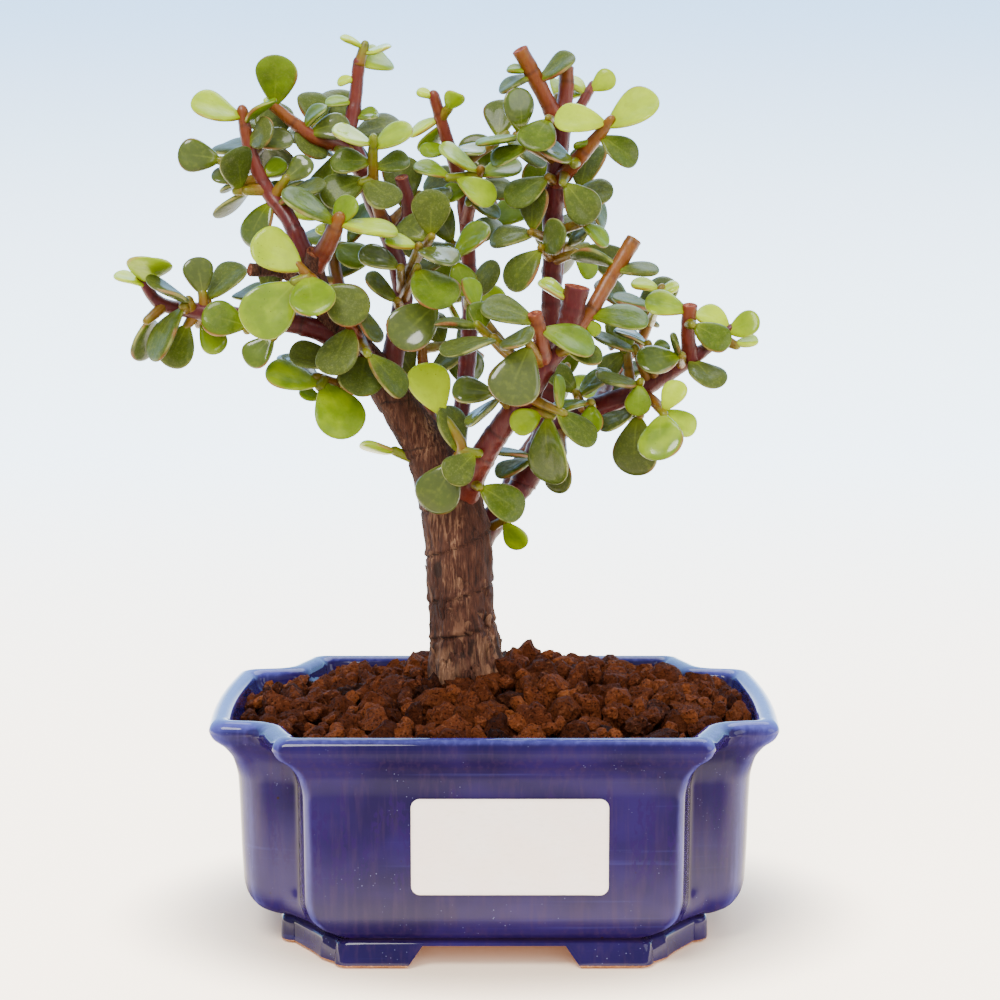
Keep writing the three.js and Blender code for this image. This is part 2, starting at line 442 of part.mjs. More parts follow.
// The outside level at any height, between the two listed ones.
function levelAt(z) {
  const above = Math.max(1, LEVELS.findIndex((level) => level.z >= z));
  const [low, high] = [LEVELS[above - 1], LEVELS[above]];
  const t = (z - low.z) / (high.z - low.z);
  const made = {};
  for (const key of Object.keys(low)) made[key] = mix(low[key], high[key], t);
  return made;
}

function makeMeshPlate(x) {
  const half = MESH_PLATE.side / 2;
  const low = FLOOR_TOP + GAP;
  const pitch = MESH_PLATE.hole + MESH_PLATE.bar;
  const hole = MESH_PLATE.hole / 2;
  const middle = (MESH_PLATE.rows - 1) / 2;
  let plate = solid(box([x - half, -half, low], [x + half, half, low + MESH_PLATE.thick]));
  for (let i = 0; i < MESH_PLATE.rows; i++) {
    for (let j = 0; j < MESH_PLATE.rows; j++) {
      const [cx, cy] = [x + (i - middle) * pitch, (j - middle) * pitch];
      plate = plate.subtract(solid(box([cx - hole, cy - hole, low - 1], [cx + hole, cy + hole, low + 2])));
    }
  }
  return plate;
}

function makeLabel() {
  const [w, h, r] = [LABEL.width / 2, LABEL.height / 2, LABEL.corner];
  const shape = new THREE.Shape();
  shape.moveTo(-w + r, -h);
  shape.lineTo(w - r, -h);
  shape.absarc(w - r, -h + r, r, -Math.PI / 2, 0);
  shape.absarc(w - r, h - r, r, 0, Math.PI / 2);
  shape.absarc(-w + r, h - r, r, Math.PI / 2, Math.PI);
  shape.absarc(-w + r, -h + r, r, Math.PI, 1.5 * Math.PI);
  const plate = new THREE.ExtrudeGeometry(shape, {
    depth: LABEL.thick,
    bevelEnabled: false,
    curveSegments: 4,
  });
  plate.rotateX(Math.PI / 2);
  return solid(plate.translate(LABEL.x, -levelAt(LABEL.middle).depth - GAP, LABEL.middle));
}

// ---------------------------------------------------------------- the soil
function moundAt(x, y) {
  const dx = (x - MOUND.x) / MOUND.spreadX;
  const dy = (y - MOUND.y) / MOUND.spreadY;
  return MOUND.base + MOUND.rise * Math.exp(-dx * dx - dy * dy);
}

// A slab whose top is a close pack of lumps: on its grid every third line is a furrow, and the four points
// between furrows are one granule's top.
function granuleRelief() {
  const draw = seeded(GRANULE.seed);
  const unit = GRANULE.pitch / 3;
  const across = 3 * Math.ceil(RIM.ear / GRANULE.pitch) * 2;
  const along = 3 * Math.ceil(RIM.depth / GRANULE.pitch) * 2;
  const [low, high] = [FLOOR_TOP - 5, RIM.height];
  const slab = new THREE.BoxGeometry(across * unit, along * unit, high - low, across, along, 1);
  slab.deleteAttribute("normal");
  slab.deleteAttribute("uv");
  const lifts = new Map();
  return reshape(mergeVertices(slab, 1e-3), (x, y, z) => {
    const shift = [draw(), draw(), draw()].map((value) => value - 0.5);
    if (z < 0) return [x, y, low];
    const [i, j] = [Math.round(x / unit + across / 2), Math.round(y / unit + along / 2)];
    const row = Math.floor(j / 3);
    const cell = Math.floor((i + row) / 3) + "," + row;
    if (!lifts.has(cell)) lifts.set(cell, draw() - 0.5);
    const furrow = (i + row) % 3 === 0 || j % 3 === 0;
    const px = x + shift[0] * 2 * GRANULE.scatter * unit;
    const py = y + shift[1] * 2 * GRANULE.scatter * unit;
    const lift = furrow ? GRANULE.low : GRANULE.high + lifts.get(cell) * 2 * GRANULE.vary;
    return [px, py, moundAt(px, py) + lift + shift[2] * GRANULE.vary];
  });
}

function makeSoil(plates) {
  let soil = solid(loft(cavityLevels(GAP).slice(0, -1).concat({ ...cavityLevels(GAP)[3], z: 70 })));
  soil = soil.intersect(solid(granuleRelief()));
  const [foot, flare] = LIMBS.trunk.path;
  soil = soil.subtract(solid(upright(LIMBS.trunk.radii[1] + 1.1, foot[2] - 1, 80, flare[0], 0, 12)));
  for (const x of plates) {
    const half = MESH_PLATE.side / 2 + GAP;
    const high = FLOOR_TOP + MESH_PLATE.thick + 2 * GAP;
    soil = soil.subtract(solid(box([x - half, -half, FLOOR_TOP], [x + half, half, high])));
  }
  return wholeOf(soil);
}

// ---------------------------------------------------------------- limbs and twigs
const curveOf = (path) => new THREE.CatmullRomCurve3(path.map(vec), false, "catmullrom", 0.5);

function radiusAt(limb, t) {
  const spans = limb.radii.length - 1;
  const k = Math.min(spans - 1, Math.floor(t * spans));
  return mix(limb.radii[k], limb.radii[k + 1], t * spans - k);
}

// A round limb: a cylinder whose rings are carried along the curve, each as wide as the limb is there.
function limbGeometry(limb, sides, steps, extra) {
  const curve = curveOf(limb.path);
  const rings = [];
  let across = new THREE.Vector3(1, 0, 0);
  for (let i = 0; i <= steps; i++) {
    const t = i / steps;
    const along = curve.getTangent(t);
    if (i === 0 && Math.abs(along.x) > 0.8) across = new THREE.Vector3(0, 0, 1);
    across.addScaledVector(along, -across.dot(along)).normalize();
    const up = across.clone().cross(along);
    rings.push({ at: curve.getPoint(t), across: across.clone(), up, r: radiusAt(limb, t) + extra });
  }
  const tube = new THREE.CylinderGeometry(1, 1, 1, sides, steps);
  return reshape(tube, (x, y, z) => {
    const ring = rings[Math.round((y + 0.5) * steps)];
    const p = ring.at.clone().addScaledVector(ring.across, x * ring.r);
    p.addScaledVector(ring.up, z * ring.r);
    return [p.x, p.y, p.z];
  });
}

const limbSides = (limb) => limb.sides || 5;
const limbSteps = (limb) => limb.path.length - 1;

// The share of a limb's length at which it passes nearest to a place.
const NEAR_STEPS = 40;
function nearest(limb, place) {
  const curve = curveOf(limb.path);
  let best = 0;
  let least = Infinity;
  for (let i = 2; i <= NEAR_STEPS; i++) {
    const away = curve.getPoint(i / NEAR_STEPS).distanceTo(place);
    if (away < least) {
      least = away;
      best = i / NEAR_STEPS;
    }
  }
  return { t: best, away: least };
}

// The twig that carries a shoot's leaves, or none where the leaves stand on the limb itself.
function twigOf(limb, tip) {
  const { t, away } = nearest(limb, tip);
  const curve = curveOf(limb.path);
  const length = curve.getLength();
  if (away < radiusAt(limb, t) + 0.6) {
    const root = curve.getPoint(Math.max(0, t - TWIG.bud / length));
    return { root, down: curve.getTangent(t).negate(), path: null };
  }
  const root = curve.getPoint(Math.max(0.06, t - (0.3 * away) / length));
  const down = root.clone().sub(tip).normalize();
  const end = tip.clone().addScaledVector(down, -TWIG.bud);
  return { root: tip.clone(), down, path: [root.toArray(), end.toArray()], radii: [TWIG.root, TWIG.tip] };
}

// ---------------------------------------------------------------- leaves
// Half the width of a leaf of length 1 and width 1, at each share of its length: wedge foot, round tip.
function leafWidth(a) {
  return Math.sqrt(Math.max(0, a * (1 - a))) * (0.3 + 0.72 * Math.pow(a, 0.75));
}

const LIGHT = new THREE.Vector3(0, -0.6, 0.8);

// A leaf's own axes: along its length, across it, and out of its upper face.
function leafAxes(along, turn) {
  const face = LIGHT.clone().addScaledVector(along, -LIGHT.dot(along));
  if (face.length() < 0.15) face.set(0, 0, 1).addScaledVector(along, -along.z);
  face.normalize().applyAxisAngle(along, THREE.MathUtils.degToRad(turn));
  return { along, face, across: face.clone().cross(along) };
}

function leafPoint(leaf, a, b, c) {
  const bend = LEAF.cup * b * b * 4 - LEAF.curl * a * a;
  return leaf.root
    .clone()
    .addScaledVector(leaf.along, a * leaf.length)
    .addScaledVector(leaf.across, b * leaf.length * LEAF.ratio)
    .addScaledVector(leaf.face, c + bend * leaf.length);
}

// A fleshy lens of few sides: a ball of one ring, the leaf's edge, between the middles of its two faces.
function leafGeometry(leaf) {
  const ball = new THREE.SphereGeometry(1, LEAF.sides, 2);
  return reshape(ball, (x, y, z) => {
    const ring = Math.hypot(x, z);
    if (ring < 1e-6) return leafPoint(leaf, 0.52, 0, (y * LEAF.thick) / 2).toArray();
    const a = (1 + x / ring) / 2;
    return leafPoint(leaf, a, -leafWidth(a) * Math.sign(Math.round(z * 1e6)), 0).toArray();
  });
}

// ---------------------------------------------------------------- keeping clear
// Every limb, twig and leaf leaves marks, which are balls that later leaves keep off.
const marks = [];

function markLimb(limb, owner) {
  const curve = curveOf(limb.path);
  const steps = Math.ceil(curve.getLength() / 1.6);
  for (let i = 0; i <= steps; i++) {
    const t = i / steps;
    marks.push({ at: curve.getPoint(t), r: radiusAt(limb, t) + AVOID.gap, owner });
  }
}

function leafSamples(leaf) {
  const samples = [];
  for (let share = TRIED.from; share < 1.01; share += TRIED.step) {
    const a = Math.min(share, TRIED.to);
    const w = leafWidth(a) * TRIED.out;
    for (const side of [-1, 0, 1]) samples.push(leafPoint(leaf, a, side * w, 0));
  }
  return samples;
}

function isClear(leaf, samples, owners) {
  const reach = leaf.length + 6;
  for (const mark of marks) {
    if (owners.includes(mark.owner)) continue;
    if (mark.at.distanceTo(leaf.root) > reach) continue;
    for (const sample of samples) {
      if (sample.distanceTo(mark.at) < mark.r + AVOID.leaf) return false;
    }
  }
  return true;
}

const dodge = seeded(AVOID.seed);

// Places a leaf as asked, or bent, turned and shrunk a bit more at each try until it is clear. Gives null
// if it never is.
function settleLeaf(root, way, turn, owners) {
  const aim = vec(way);
  const length = aim.length();
  aim.normalize();
  for (let k = 0; k < AVOID.tries; k++) {
    const swing = AVOID.swing.map((most) => (dodge() - 0.5) * 2 * most * k);
    const twist = (dodge() - 0.5) * 2 * AVOID.turn * k;
    const along = aim.clone().add(vec(swing));
    const size = Math.min(LEAF.longest, length * along.length()) * (1 - AVOID.shrink * k);
    along.normalize();
    const foot = root.clone().addScaledVector(along, LEAF.foot);
    const leaf = { root: foot, length: size, ...leafAxes(along, turn + twist) };
    const samples = leafSamples(leaf);
    if (isClear(leaf, samples, owners)) {
      samples.forEach((at) => marks.push({ at, r: AVOID.leaf, owner: null }));
      return leaf;
    }
  }
  return null;
}

// ---------------------------------------------------------------- growing the sprays
// Shoots on the far side: each leaves its limb away from the front and ends in two crossed pairs of leaves.
function rearShoots() {
  const draw = seeded(REAR.seed);
  const made = [];
  for (const [name, count] of Object.entries(REAR_SHOOTS)) {
    const curve = curveOf(LIMBS[name].path);
    for (let k = 0; k < count; k++) {
      const t = mix(0.42, 0.98, (k + 0.6 * draw()) / count);
      const length = mix(REAR.length[0], REAR.length[1], draw());
      const bearing = mix(0.05, 0.95, draw()) * Math.PI;
      const out = new THREE.Vector3(Math.cos(bearing), Math.sin(bearing), REAR.lift * draw() + 0.1);
      out.normalize();
      const tip = curve.getPoint(t).addScaledVector(out, length);
      const leaves = [];
      const side = new THREE.Vector3(0, 0, 1).cross(out).normalize();
      const rise = out.clone().cross(side);
      const roll = draw() * Math.PI;
      for (let pair = 0; pair < 2; pair++) {
        for (const sign of [-1, 1]) {
          const angle = roll + (pair * Math.PI) / 2;
          const way = side.clone().multiplyScalar(Math.cos(angle) * sign);
          way.addScaledVector(rise, Math.sin(angle) * sign);
          way.addScaledVector(out, pair ? 0.25 : 0.6).normalize();
          const size = mix(REAR.leaf[0], REAR.leaf[1], draw());
          const turn = REAR.turn * (draw() - 0.5);
          leaves.push({ way: way.multiplyScalar(size).toArray(), turn, back: pair * REAR.pairs });
        }
      }
      made.push({ limb: name, tip, leaves });
    }
  }
  return made;
}

function growSprays() {
  const shoots = SHOOTS.map(([limb, tip, ...ways]) => ({
    limb,
    tip: vec(tip),
    leaves: ways.map((way) => ({ way: way.slice(0, 3), turn: way[3], back: 0 })),
  })).concat(rearShoots());
  for (const [name, limb] of Object.entries(LIMBS)) markLimb(limb, name);
  shoots.forEach((shoot, index) => {
    shoot.twig = twigOf(LIMBS[shoot.limb], shoot.tip);
    shoot.owner = "twig" + index;
    if (shoot.twig.path) markLimb(shoot.twig, shoot.owner);
  });
  for (const shoot of shoots) {
    const { root, down } = shoot.twig;
    shoot.grown = shoot.leaves.map((leaf, k) => {
      const foot = root.clone().addScaledVector(down, leaf.back + (k % 2) * TWIG.step);
      return settleLeaf(foot, leaf.way, leaf.turn, [shoot.limb, shoot.owner]);
    });
  }
  return shoots;
}

function nodeWood(node, extra) {
  const limbs = Object.values(LIMBS).filter((limb) => limb.node === node);
  const grown = limbs.map((limb) => solid(limbGeometry(limb, limbSides(limb), limbSteps(limb), extra)));
  return wasm.Manifold.union(grown);
}

function makeSpray(node, shoots, fatWood) {
  const pieces = [nodeWood(node, 0)];
  for (const shoot of shoots.filter((each) => LIMBS[each.limb].node === node)) {
    if (shoot.twig.path) pieces.push(solid(limbGeometry(shoot.twig, TWIG.sides, 1, 0)));
    shoot.grown.filter(Boolean).forEach((leaf) => pieces.push(solid(leafGeometry(leaf))));
  }
  let spray = wasm.Manifold.union(pieces);
  const first = Object.values(LIMBS).find((limb) => limb.node === node);
  if (first.from) spray = spray.subtract(fatWood(LIMBS[first.from].node));
  return wholeOf(spray);
}

// ---------------------------------------------------------------- the whole plant in its pot
const FINISH = {
  pot: { color: 0x36407c, roughness: 0.16, metalness: 0 },
  soil: { color: 0x6e3c20, roughness: 0.95, metalness: 0 },
  label: { color: 0xf2ece0, roughness: 0.6, metalness: 0 },
  mesh: { color: 0x20241f, roughness: 0.5, metalness: 0 },
  bark: { color: 0x5e4030, roughness: 0.85, metalness: 0 },
  leaf: { color: 0x7c9a3c, roughness: 0.4, metalness: 0 },
};

function named(name, made, finish) {
  const mesh = new THREE.Mesh(toGeometry(made), new THREE.MeshStandardMaterial(FINISH[finish]));
  mesh.name = name;
  return mesh;
}

const plant = new THREE.Group();
const holder = new THREE.Group();
const tree = new THREE.Group();
plant.add(holder, tree);

const plateX = { left: -DRAIN.x, right: DRAIN.x };
holder.add(named("pot", makePot(), "pot"));
for (const [side, x] of Object.entries(plateX)) {
  holder.add(named("drain_mesh_" + side, makeMeshPlate(x), "mesh"));
}
holder.add(named("label", makeLabel(), "label"));
holder.add(named("soil", makeSoil(Object.values(plateX)), "soil"));

const fat = new Map();
const fatWood = (node) => {
  if (!fat.has(node)) fat.set(node, nodeWood(node, GAP));
  return fat.get(node);
};
const shoots = growSprays();
for (const node of new Set(Object.values(LIMBS).map((limb) => limb.node))) {
  tree.add(named(node, makeSpray(node, shoots, fatWood), node === "trunk" ? "bark" : "leaf"));
}

plant.position.set(POT_PLACE.x, POT_PLACE.y, 0);

export default plant;
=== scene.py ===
import math
from collections import namedtuple

import bmesh
import bpy
import numpy as np
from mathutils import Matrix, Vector, noise


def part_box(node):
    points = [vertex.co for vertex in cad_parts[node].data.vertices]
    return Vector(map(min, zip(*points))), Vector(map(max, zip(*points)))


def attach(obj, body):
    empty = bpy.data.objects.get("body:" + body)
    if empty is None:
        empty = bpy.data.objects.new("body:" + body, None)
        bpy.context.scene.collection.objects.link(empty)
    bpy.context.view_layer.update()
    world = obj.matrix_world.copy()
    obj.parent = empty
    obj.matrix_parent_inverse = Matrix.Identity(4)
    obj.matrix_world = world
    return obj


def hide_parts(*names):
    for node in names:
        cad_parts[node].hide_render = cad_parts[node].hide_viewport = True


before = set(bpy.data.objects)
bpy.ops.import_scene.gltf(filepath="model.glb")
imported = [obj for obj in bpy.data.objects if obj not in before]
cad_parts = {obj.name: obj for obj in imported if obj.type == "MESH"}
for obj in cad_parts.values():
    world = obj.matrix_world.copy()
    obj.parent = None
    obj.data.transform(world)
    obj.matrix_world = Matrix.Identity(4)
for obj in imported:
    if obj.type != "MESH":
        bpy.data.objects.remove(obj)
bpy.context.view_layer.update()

bl_info = {
    "name": "Dwarf Jade Bonsai",
    "version": (1, 0, 0),
    "blender": (4, 5, 0),
    "location": "3D View > Sidebar > Bonsai",
    "description": "Builds a dwarf jade bonsai in its notched, glazed pot",
    "category": "Object",
}

# The makers below work in millimetres round the middle of the pot's underside; Blender's units are metres.
MM = 0.001
POT_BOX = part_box("pot")
POT_MIDDLE = ((POT_BOX[0] + POT_BOX[1]) / 2 / MM).xy.to_3d()


def srgb(red, green, blue):
    """A colour of 0 to 255 steps as the linear colour that shaders use."""
    return tuple(
        c / 12.92 if c <= 0.04045 else ((c + 0.055) / 1.055) ** 2.4
        for c in (red / 255, green / 255, blue / 255)
    )


def mix(a, b, t):
    return a + (b - a) * t


def smoothstep(low, high, value):
    t = np.clip((value - low) / (high - low), 0, 1)
    return t * t * (3 - 2 * t)


def bell(value, width):
    return np.exp(-((value / width) ** 2))


def seeded(seed):
    """Draws from 0 to 1, always the same ones for a seed."""
    state = seed

    def draw():
        nonlocal state
        state = (state + 0x6D2B79F5) & 0xFFFFFFFF
        t = ((state ^ (state >> 15)) * (1 | state)) & 0xFFFFFFFF
        t = ((t + (t ^ (t >> 7)) * (61 | t)) & 0xFFFFFFFF) ^ t
        return (t ^ (t >> 14)) / 4294967296

    return draw


# The wood. Each limb: its node, how young its skin looks at its foot and at its tip, from 0, bark, by 0.3, wine
# red, and 0.65, orange brown, to 1, green, and the points that its middle runs through, each with the radius there.
Limb = namedtuple("Limb", "node age points")
LIMBS = {
    "trunk": Limb("trunk", (0, 0), [
        (-6.5, 0, 43, 8), (-6.8, 0, 51, 8.8), (-7, 0, 59, 7.6), (-7.5, 0, 71, 7), (-7.9, 0, 80, 7.4),
        (-8.7, 0, 89, 6.8), (-10.3, 0, 97, 6.2),
    ]),
    "left_bough": Limb("trunk", (0, 0.1), [
        (-9.6, 0, 92, 6.4), (-14.6, -1, 105, 5.1), (-19.6, -2, 113, 4.4), (-25.4, -3, 121.7, 3.9),
        (-32.4, -5, 130.6, 3.4), (-37.1, -8, 138.3, 2.8), (-38.5, -11, 144.3, 2.3), (-37.6, -14, 148.6, 2.2),
    ]),
    "dark_spur": Limb("trunk", (0.05, 0.05), [
        (-36, -7, 136.5, 1.7), (-45, -6, 144, 1.5), (-52.3, -10, 144.7, 1.4),
    ]),
    "low_left": Limb("spray_low_left", (0.3, 0.38), [
        (-31.4, -4.6, 129, 2.3), (-41.9, -8, 132.9, 2.2), (-52.4, -10, 134.5, 2), (-62, -10, 135.6, 1.9),
        (-71.5, -11, 137.7, 1.4), (-75.4, -12, 143.4, 1.1),
    ]),
    "upper_left": Limb("spray_upper_left", (0.28, 0.6), [
        (-38.2, -10, 142.5, 1.9), (-41.5, -10, 150.5, 1.9), (-44.6, -8, 156.4, 1.8), (-47.8, -6, 160, 1.7),
        (-51.2, -5, 166.4, 1.5), (-53, -5, 172.4, 1.4), (-54, -5, 178.6, 1.2),
    ]),
    "front_left_low": Limb("spray_front_left_low", (0.4, 0.8), [
        (-27, -3.4, 123.5, 1.6), (-29, -12, 130, 1.4), (-33, -17, 137, 1.3), (-41.5, -17, 146, 1.1),
    ]),
    "left_hang": Limb("spray_left_hang", (0.5, 0.9), [
        (-25, -3, 121, 1.5), (-32, -5, 119.6, 1.3), (-38.5, -8, 121.6, 1.1),
    ]),
    "front_left": Limb("spray_front_left", (0.45, 0.7), [
        (-38.4, -11.5, 145.4, 1.9), (-35, -15.5, 150.5, 1.9), (-32.4, -19.3, 155.6, 1.5),
    ]),
    "low_leaf": Limb("sprig_low_left", (0.8, 1), [
        (-12.6, -1, 101, 1.2), (-18.6, -2.4, 103.4, 1.1), (-22, -3, 105, 1),
    ]),
    "crotch": Limb("spray_crotch", (0.6, 1), [
        (-11.6, -0.6, 98.5, 1.5), (-9, -7, 102.5, 1.4), (-7, -10.5, 107, 1.2), (-12, -9, 114.5, 1),
    ]),
    "mid_leader": Limb("spray_middle", (0.2, 0.5), [
        (-23.6, -2.6, 119.5, 2.4), (-21.1, 0, 131.4, 2.3), (-20.3, 2, 140.1, 2.1), (-22.9, 3, 151, 2),
        (-26.9, 4, 159.7, 1.9), (-29.1, 5, 167.3, 1.8), (-31.6, 5, 173.8, 1.6), (-30.5, 6, 181.4, 1.5),
        (-29.6, 6, 189.6, 1.3),
    ]),
    "mid_left": Limb("spray_middle", (0.4, 0.72), [
        (-28.6, 5, 165.5, 1.7), (-33.7, 3, 171, 1.6), (-38.9, 0, 173, 1.5), (-42.5, -1, 175.5, 1.4),
        (-48, -2, 180, 1.2),
    ]),
    "mid_green": Limb("spray_middle", (0.6, 1), [
        (-24.2, 3, 153.5, 1.4), (-26, -1, 161, 1.3), (-26.1, -5, 167, 1.2), (-25.7, -9, 172.6, 1),
    ]),
    "mid_stub": Limb("spray_middle", (0.25, 0.3), [
        (-22.4, 3, 150, 1.7), (-18.6, 0, 156.4, 1.6), (-20, -3.6, 164.4, 1.4),
    ]),
    "tall_middle": Limb("spray_tall_middle", (0.28, 0.55), [
        (-9.6, 1, 95.5, 2.1), (-8, 7.5, 108, 2), (-6, 14, 125, 1.9), (-5.6, 17, 137.3, 1.8),
        (-6, 18, 148.6, 1.7), (-7.3, 17, 162, 1.6), (-10, 15, 171, 1.5), (-13.4, 12, 182.6, 1.3),
    ]),
    "mid_right": Limb("spray_tall_middle", (0.4, 0.8), [
        (-6.4, 17.5, 155, 1.4), (-4.6, 12, 161.5, 1.2), (-3, 6, 166.4, 1),
    ]),
    "front_bough": Limb("spray_front", (0.5, 0.3), [
        (-8.7, 0, 91, 3.5), (-4.2, -7, 101.3, 2.9), (1.2, -11, 110.4, 2.6), (6.6, -14, 117.6, 2.6),
        (11, -17, 125.1, 2.4), (14, -16, 129, 2.4), (16.1, -15, 134.3, 2.5), (17.5, -16, 141.3, 2.7),
    ]),
    "knuckle": Limb("spray_front", (0.5, 0.62), [
        (10.8, -16.6, 124.5, 1.6), (10.1, -21, 129.3, 1.6), (8.5, -24, 136, 1.6),
    ]),
    "orange_stub": Limb("spray_front", (0.6, 0.7), [
        (13.6, -16.2, 128, 1.9), (20.1, -12, 135.2, 1.7), (24.4, -9, 142.1, 1.6), (30.1, -7, 151.1, 1.7),
    ]),
    "right_bough": Limb("spray_right", (0.3, 0.38), [
        (-7, 2, 79.5, 3), (1.2, 8, 90, 2.8), (6.9, 9, 96.7, 2.7), (11.4, 8, 104, 2.6), (15.8, 6, 109.9, 2.5),
        (22.3, 2, 114, 2.4), (30.9, -1, 117.6, 2.1), (37.4, -2, 121.6, 1.9), (43.2, -3, 125.4, 1.6),
        (47.6, -3, 128.4, 1.3), (52, -3, 132, 1),
    ]),
    "right_stub": Limb("spray_right", (0.4, 0.55), [
        (43, -3, 125, 1.6), (42.1, -5, 130.6, 1.5), (42.3, -7, 137, 1.6),
    ]),
    "right_hang": Limb("spray_right", (0.5, 0.9), [
        (32, -1, 117.8, 1.3), (34.9, -8, 116, 1.2), (36.4, -14.3, 114, 1),
    ]),
    "right_rear": Limb("spray_right", (0.4, 0.85), [
        (22.8, 2, 114.2, 1.6), (27.3, 13, 121.4, 1.4), (33.3, 17, 128.2, 1.3), (38, 18, 140, 1),
    ]),
    "tall_right": Limb("spray_tall_right", (0.3, 0.32), [
        (6.4, 9, 96, 2.5), (11.4, 11.5, 108.3, 2.4), (12.5, 11.5, 119.6, 2.3), (12.7, 10, 130.9, 2.3),
        (12.8, 9, 142.1, 2.2), (13, 8, 153.1, 2.2), (13.4, 7, 163, 2.2), (14.4, 6, 172.8, 2.3),
        (14.1, 6, 176.6, 2.3),
    ]),
    "top_left_stub": Limb("spray_tall_right", (0.5, 0.68), [
        (14.2, 6, 175, 1.8), (11.6, 5, 181, 1.7), (5.6, 1, 191.8, 1.8),
    ]),
    "top_stub": Limb("spray_tall_right", (0.4, 0.6), [
        (14.4, 6, 174.6, 1.8), (15.7, 7, 182.6, 1.6), (15.8, 8, 188.5, 1.7),
    ]),
    "top_shoot": Limb("spray_tall_right", (0.4, 0.5), [
        (14.6, 6, 173.6, 1.4), (18.5, 9, 179.4, 1.2), (21.9, 12, 185, 1),
    ]),
    "side_shoot": Limb("spray_tall_right", (0.5, 0.75), [
        (13.2, 7, 162.6, 1.7), (17.6, 2, 167.7, 1.6), (21.8, -2, 172.5, 1.4), (25, -5, 176.6, 1.1),
    ]),
    "tall_rear": Limb("spray_tall_right", (0.35, 0.9), [
        (12.7, 10, 130, 1.5), (14, 19, 140, 1.4), (15, 25, 150, 1.2), (14, 28, 161, 1),
    ]),
    "rear_left": Limb("spray_rear_left", (0.3, 0.85), [
        (-23, -2, 118, 2), (-29, 9, 127, 1.8), (-34, 18, 136, 1.6), (-37, 25, 146, 1.3), (-38, 29, 155, 1),
    ]),
    "rear_middle": Limb("spray_rear_middle", (0.3, 0.85), [
        (-8.4, 0, 84, 2), (-12, 12, 98, 1.8), (-15, 22, 112, 1.6), (-17, 31, 125, 1.3), (-16, 36, 138, 1),
    ]),
    "rear_right": Limb("spray_rear_right", (0.35, 0.85), [
        (1.4, 8, 90.2, 1.8), (5, 18, 99, 1.6), (12, 27, 109, 1.4), (17, 34, 121, 1),
    ]),
}

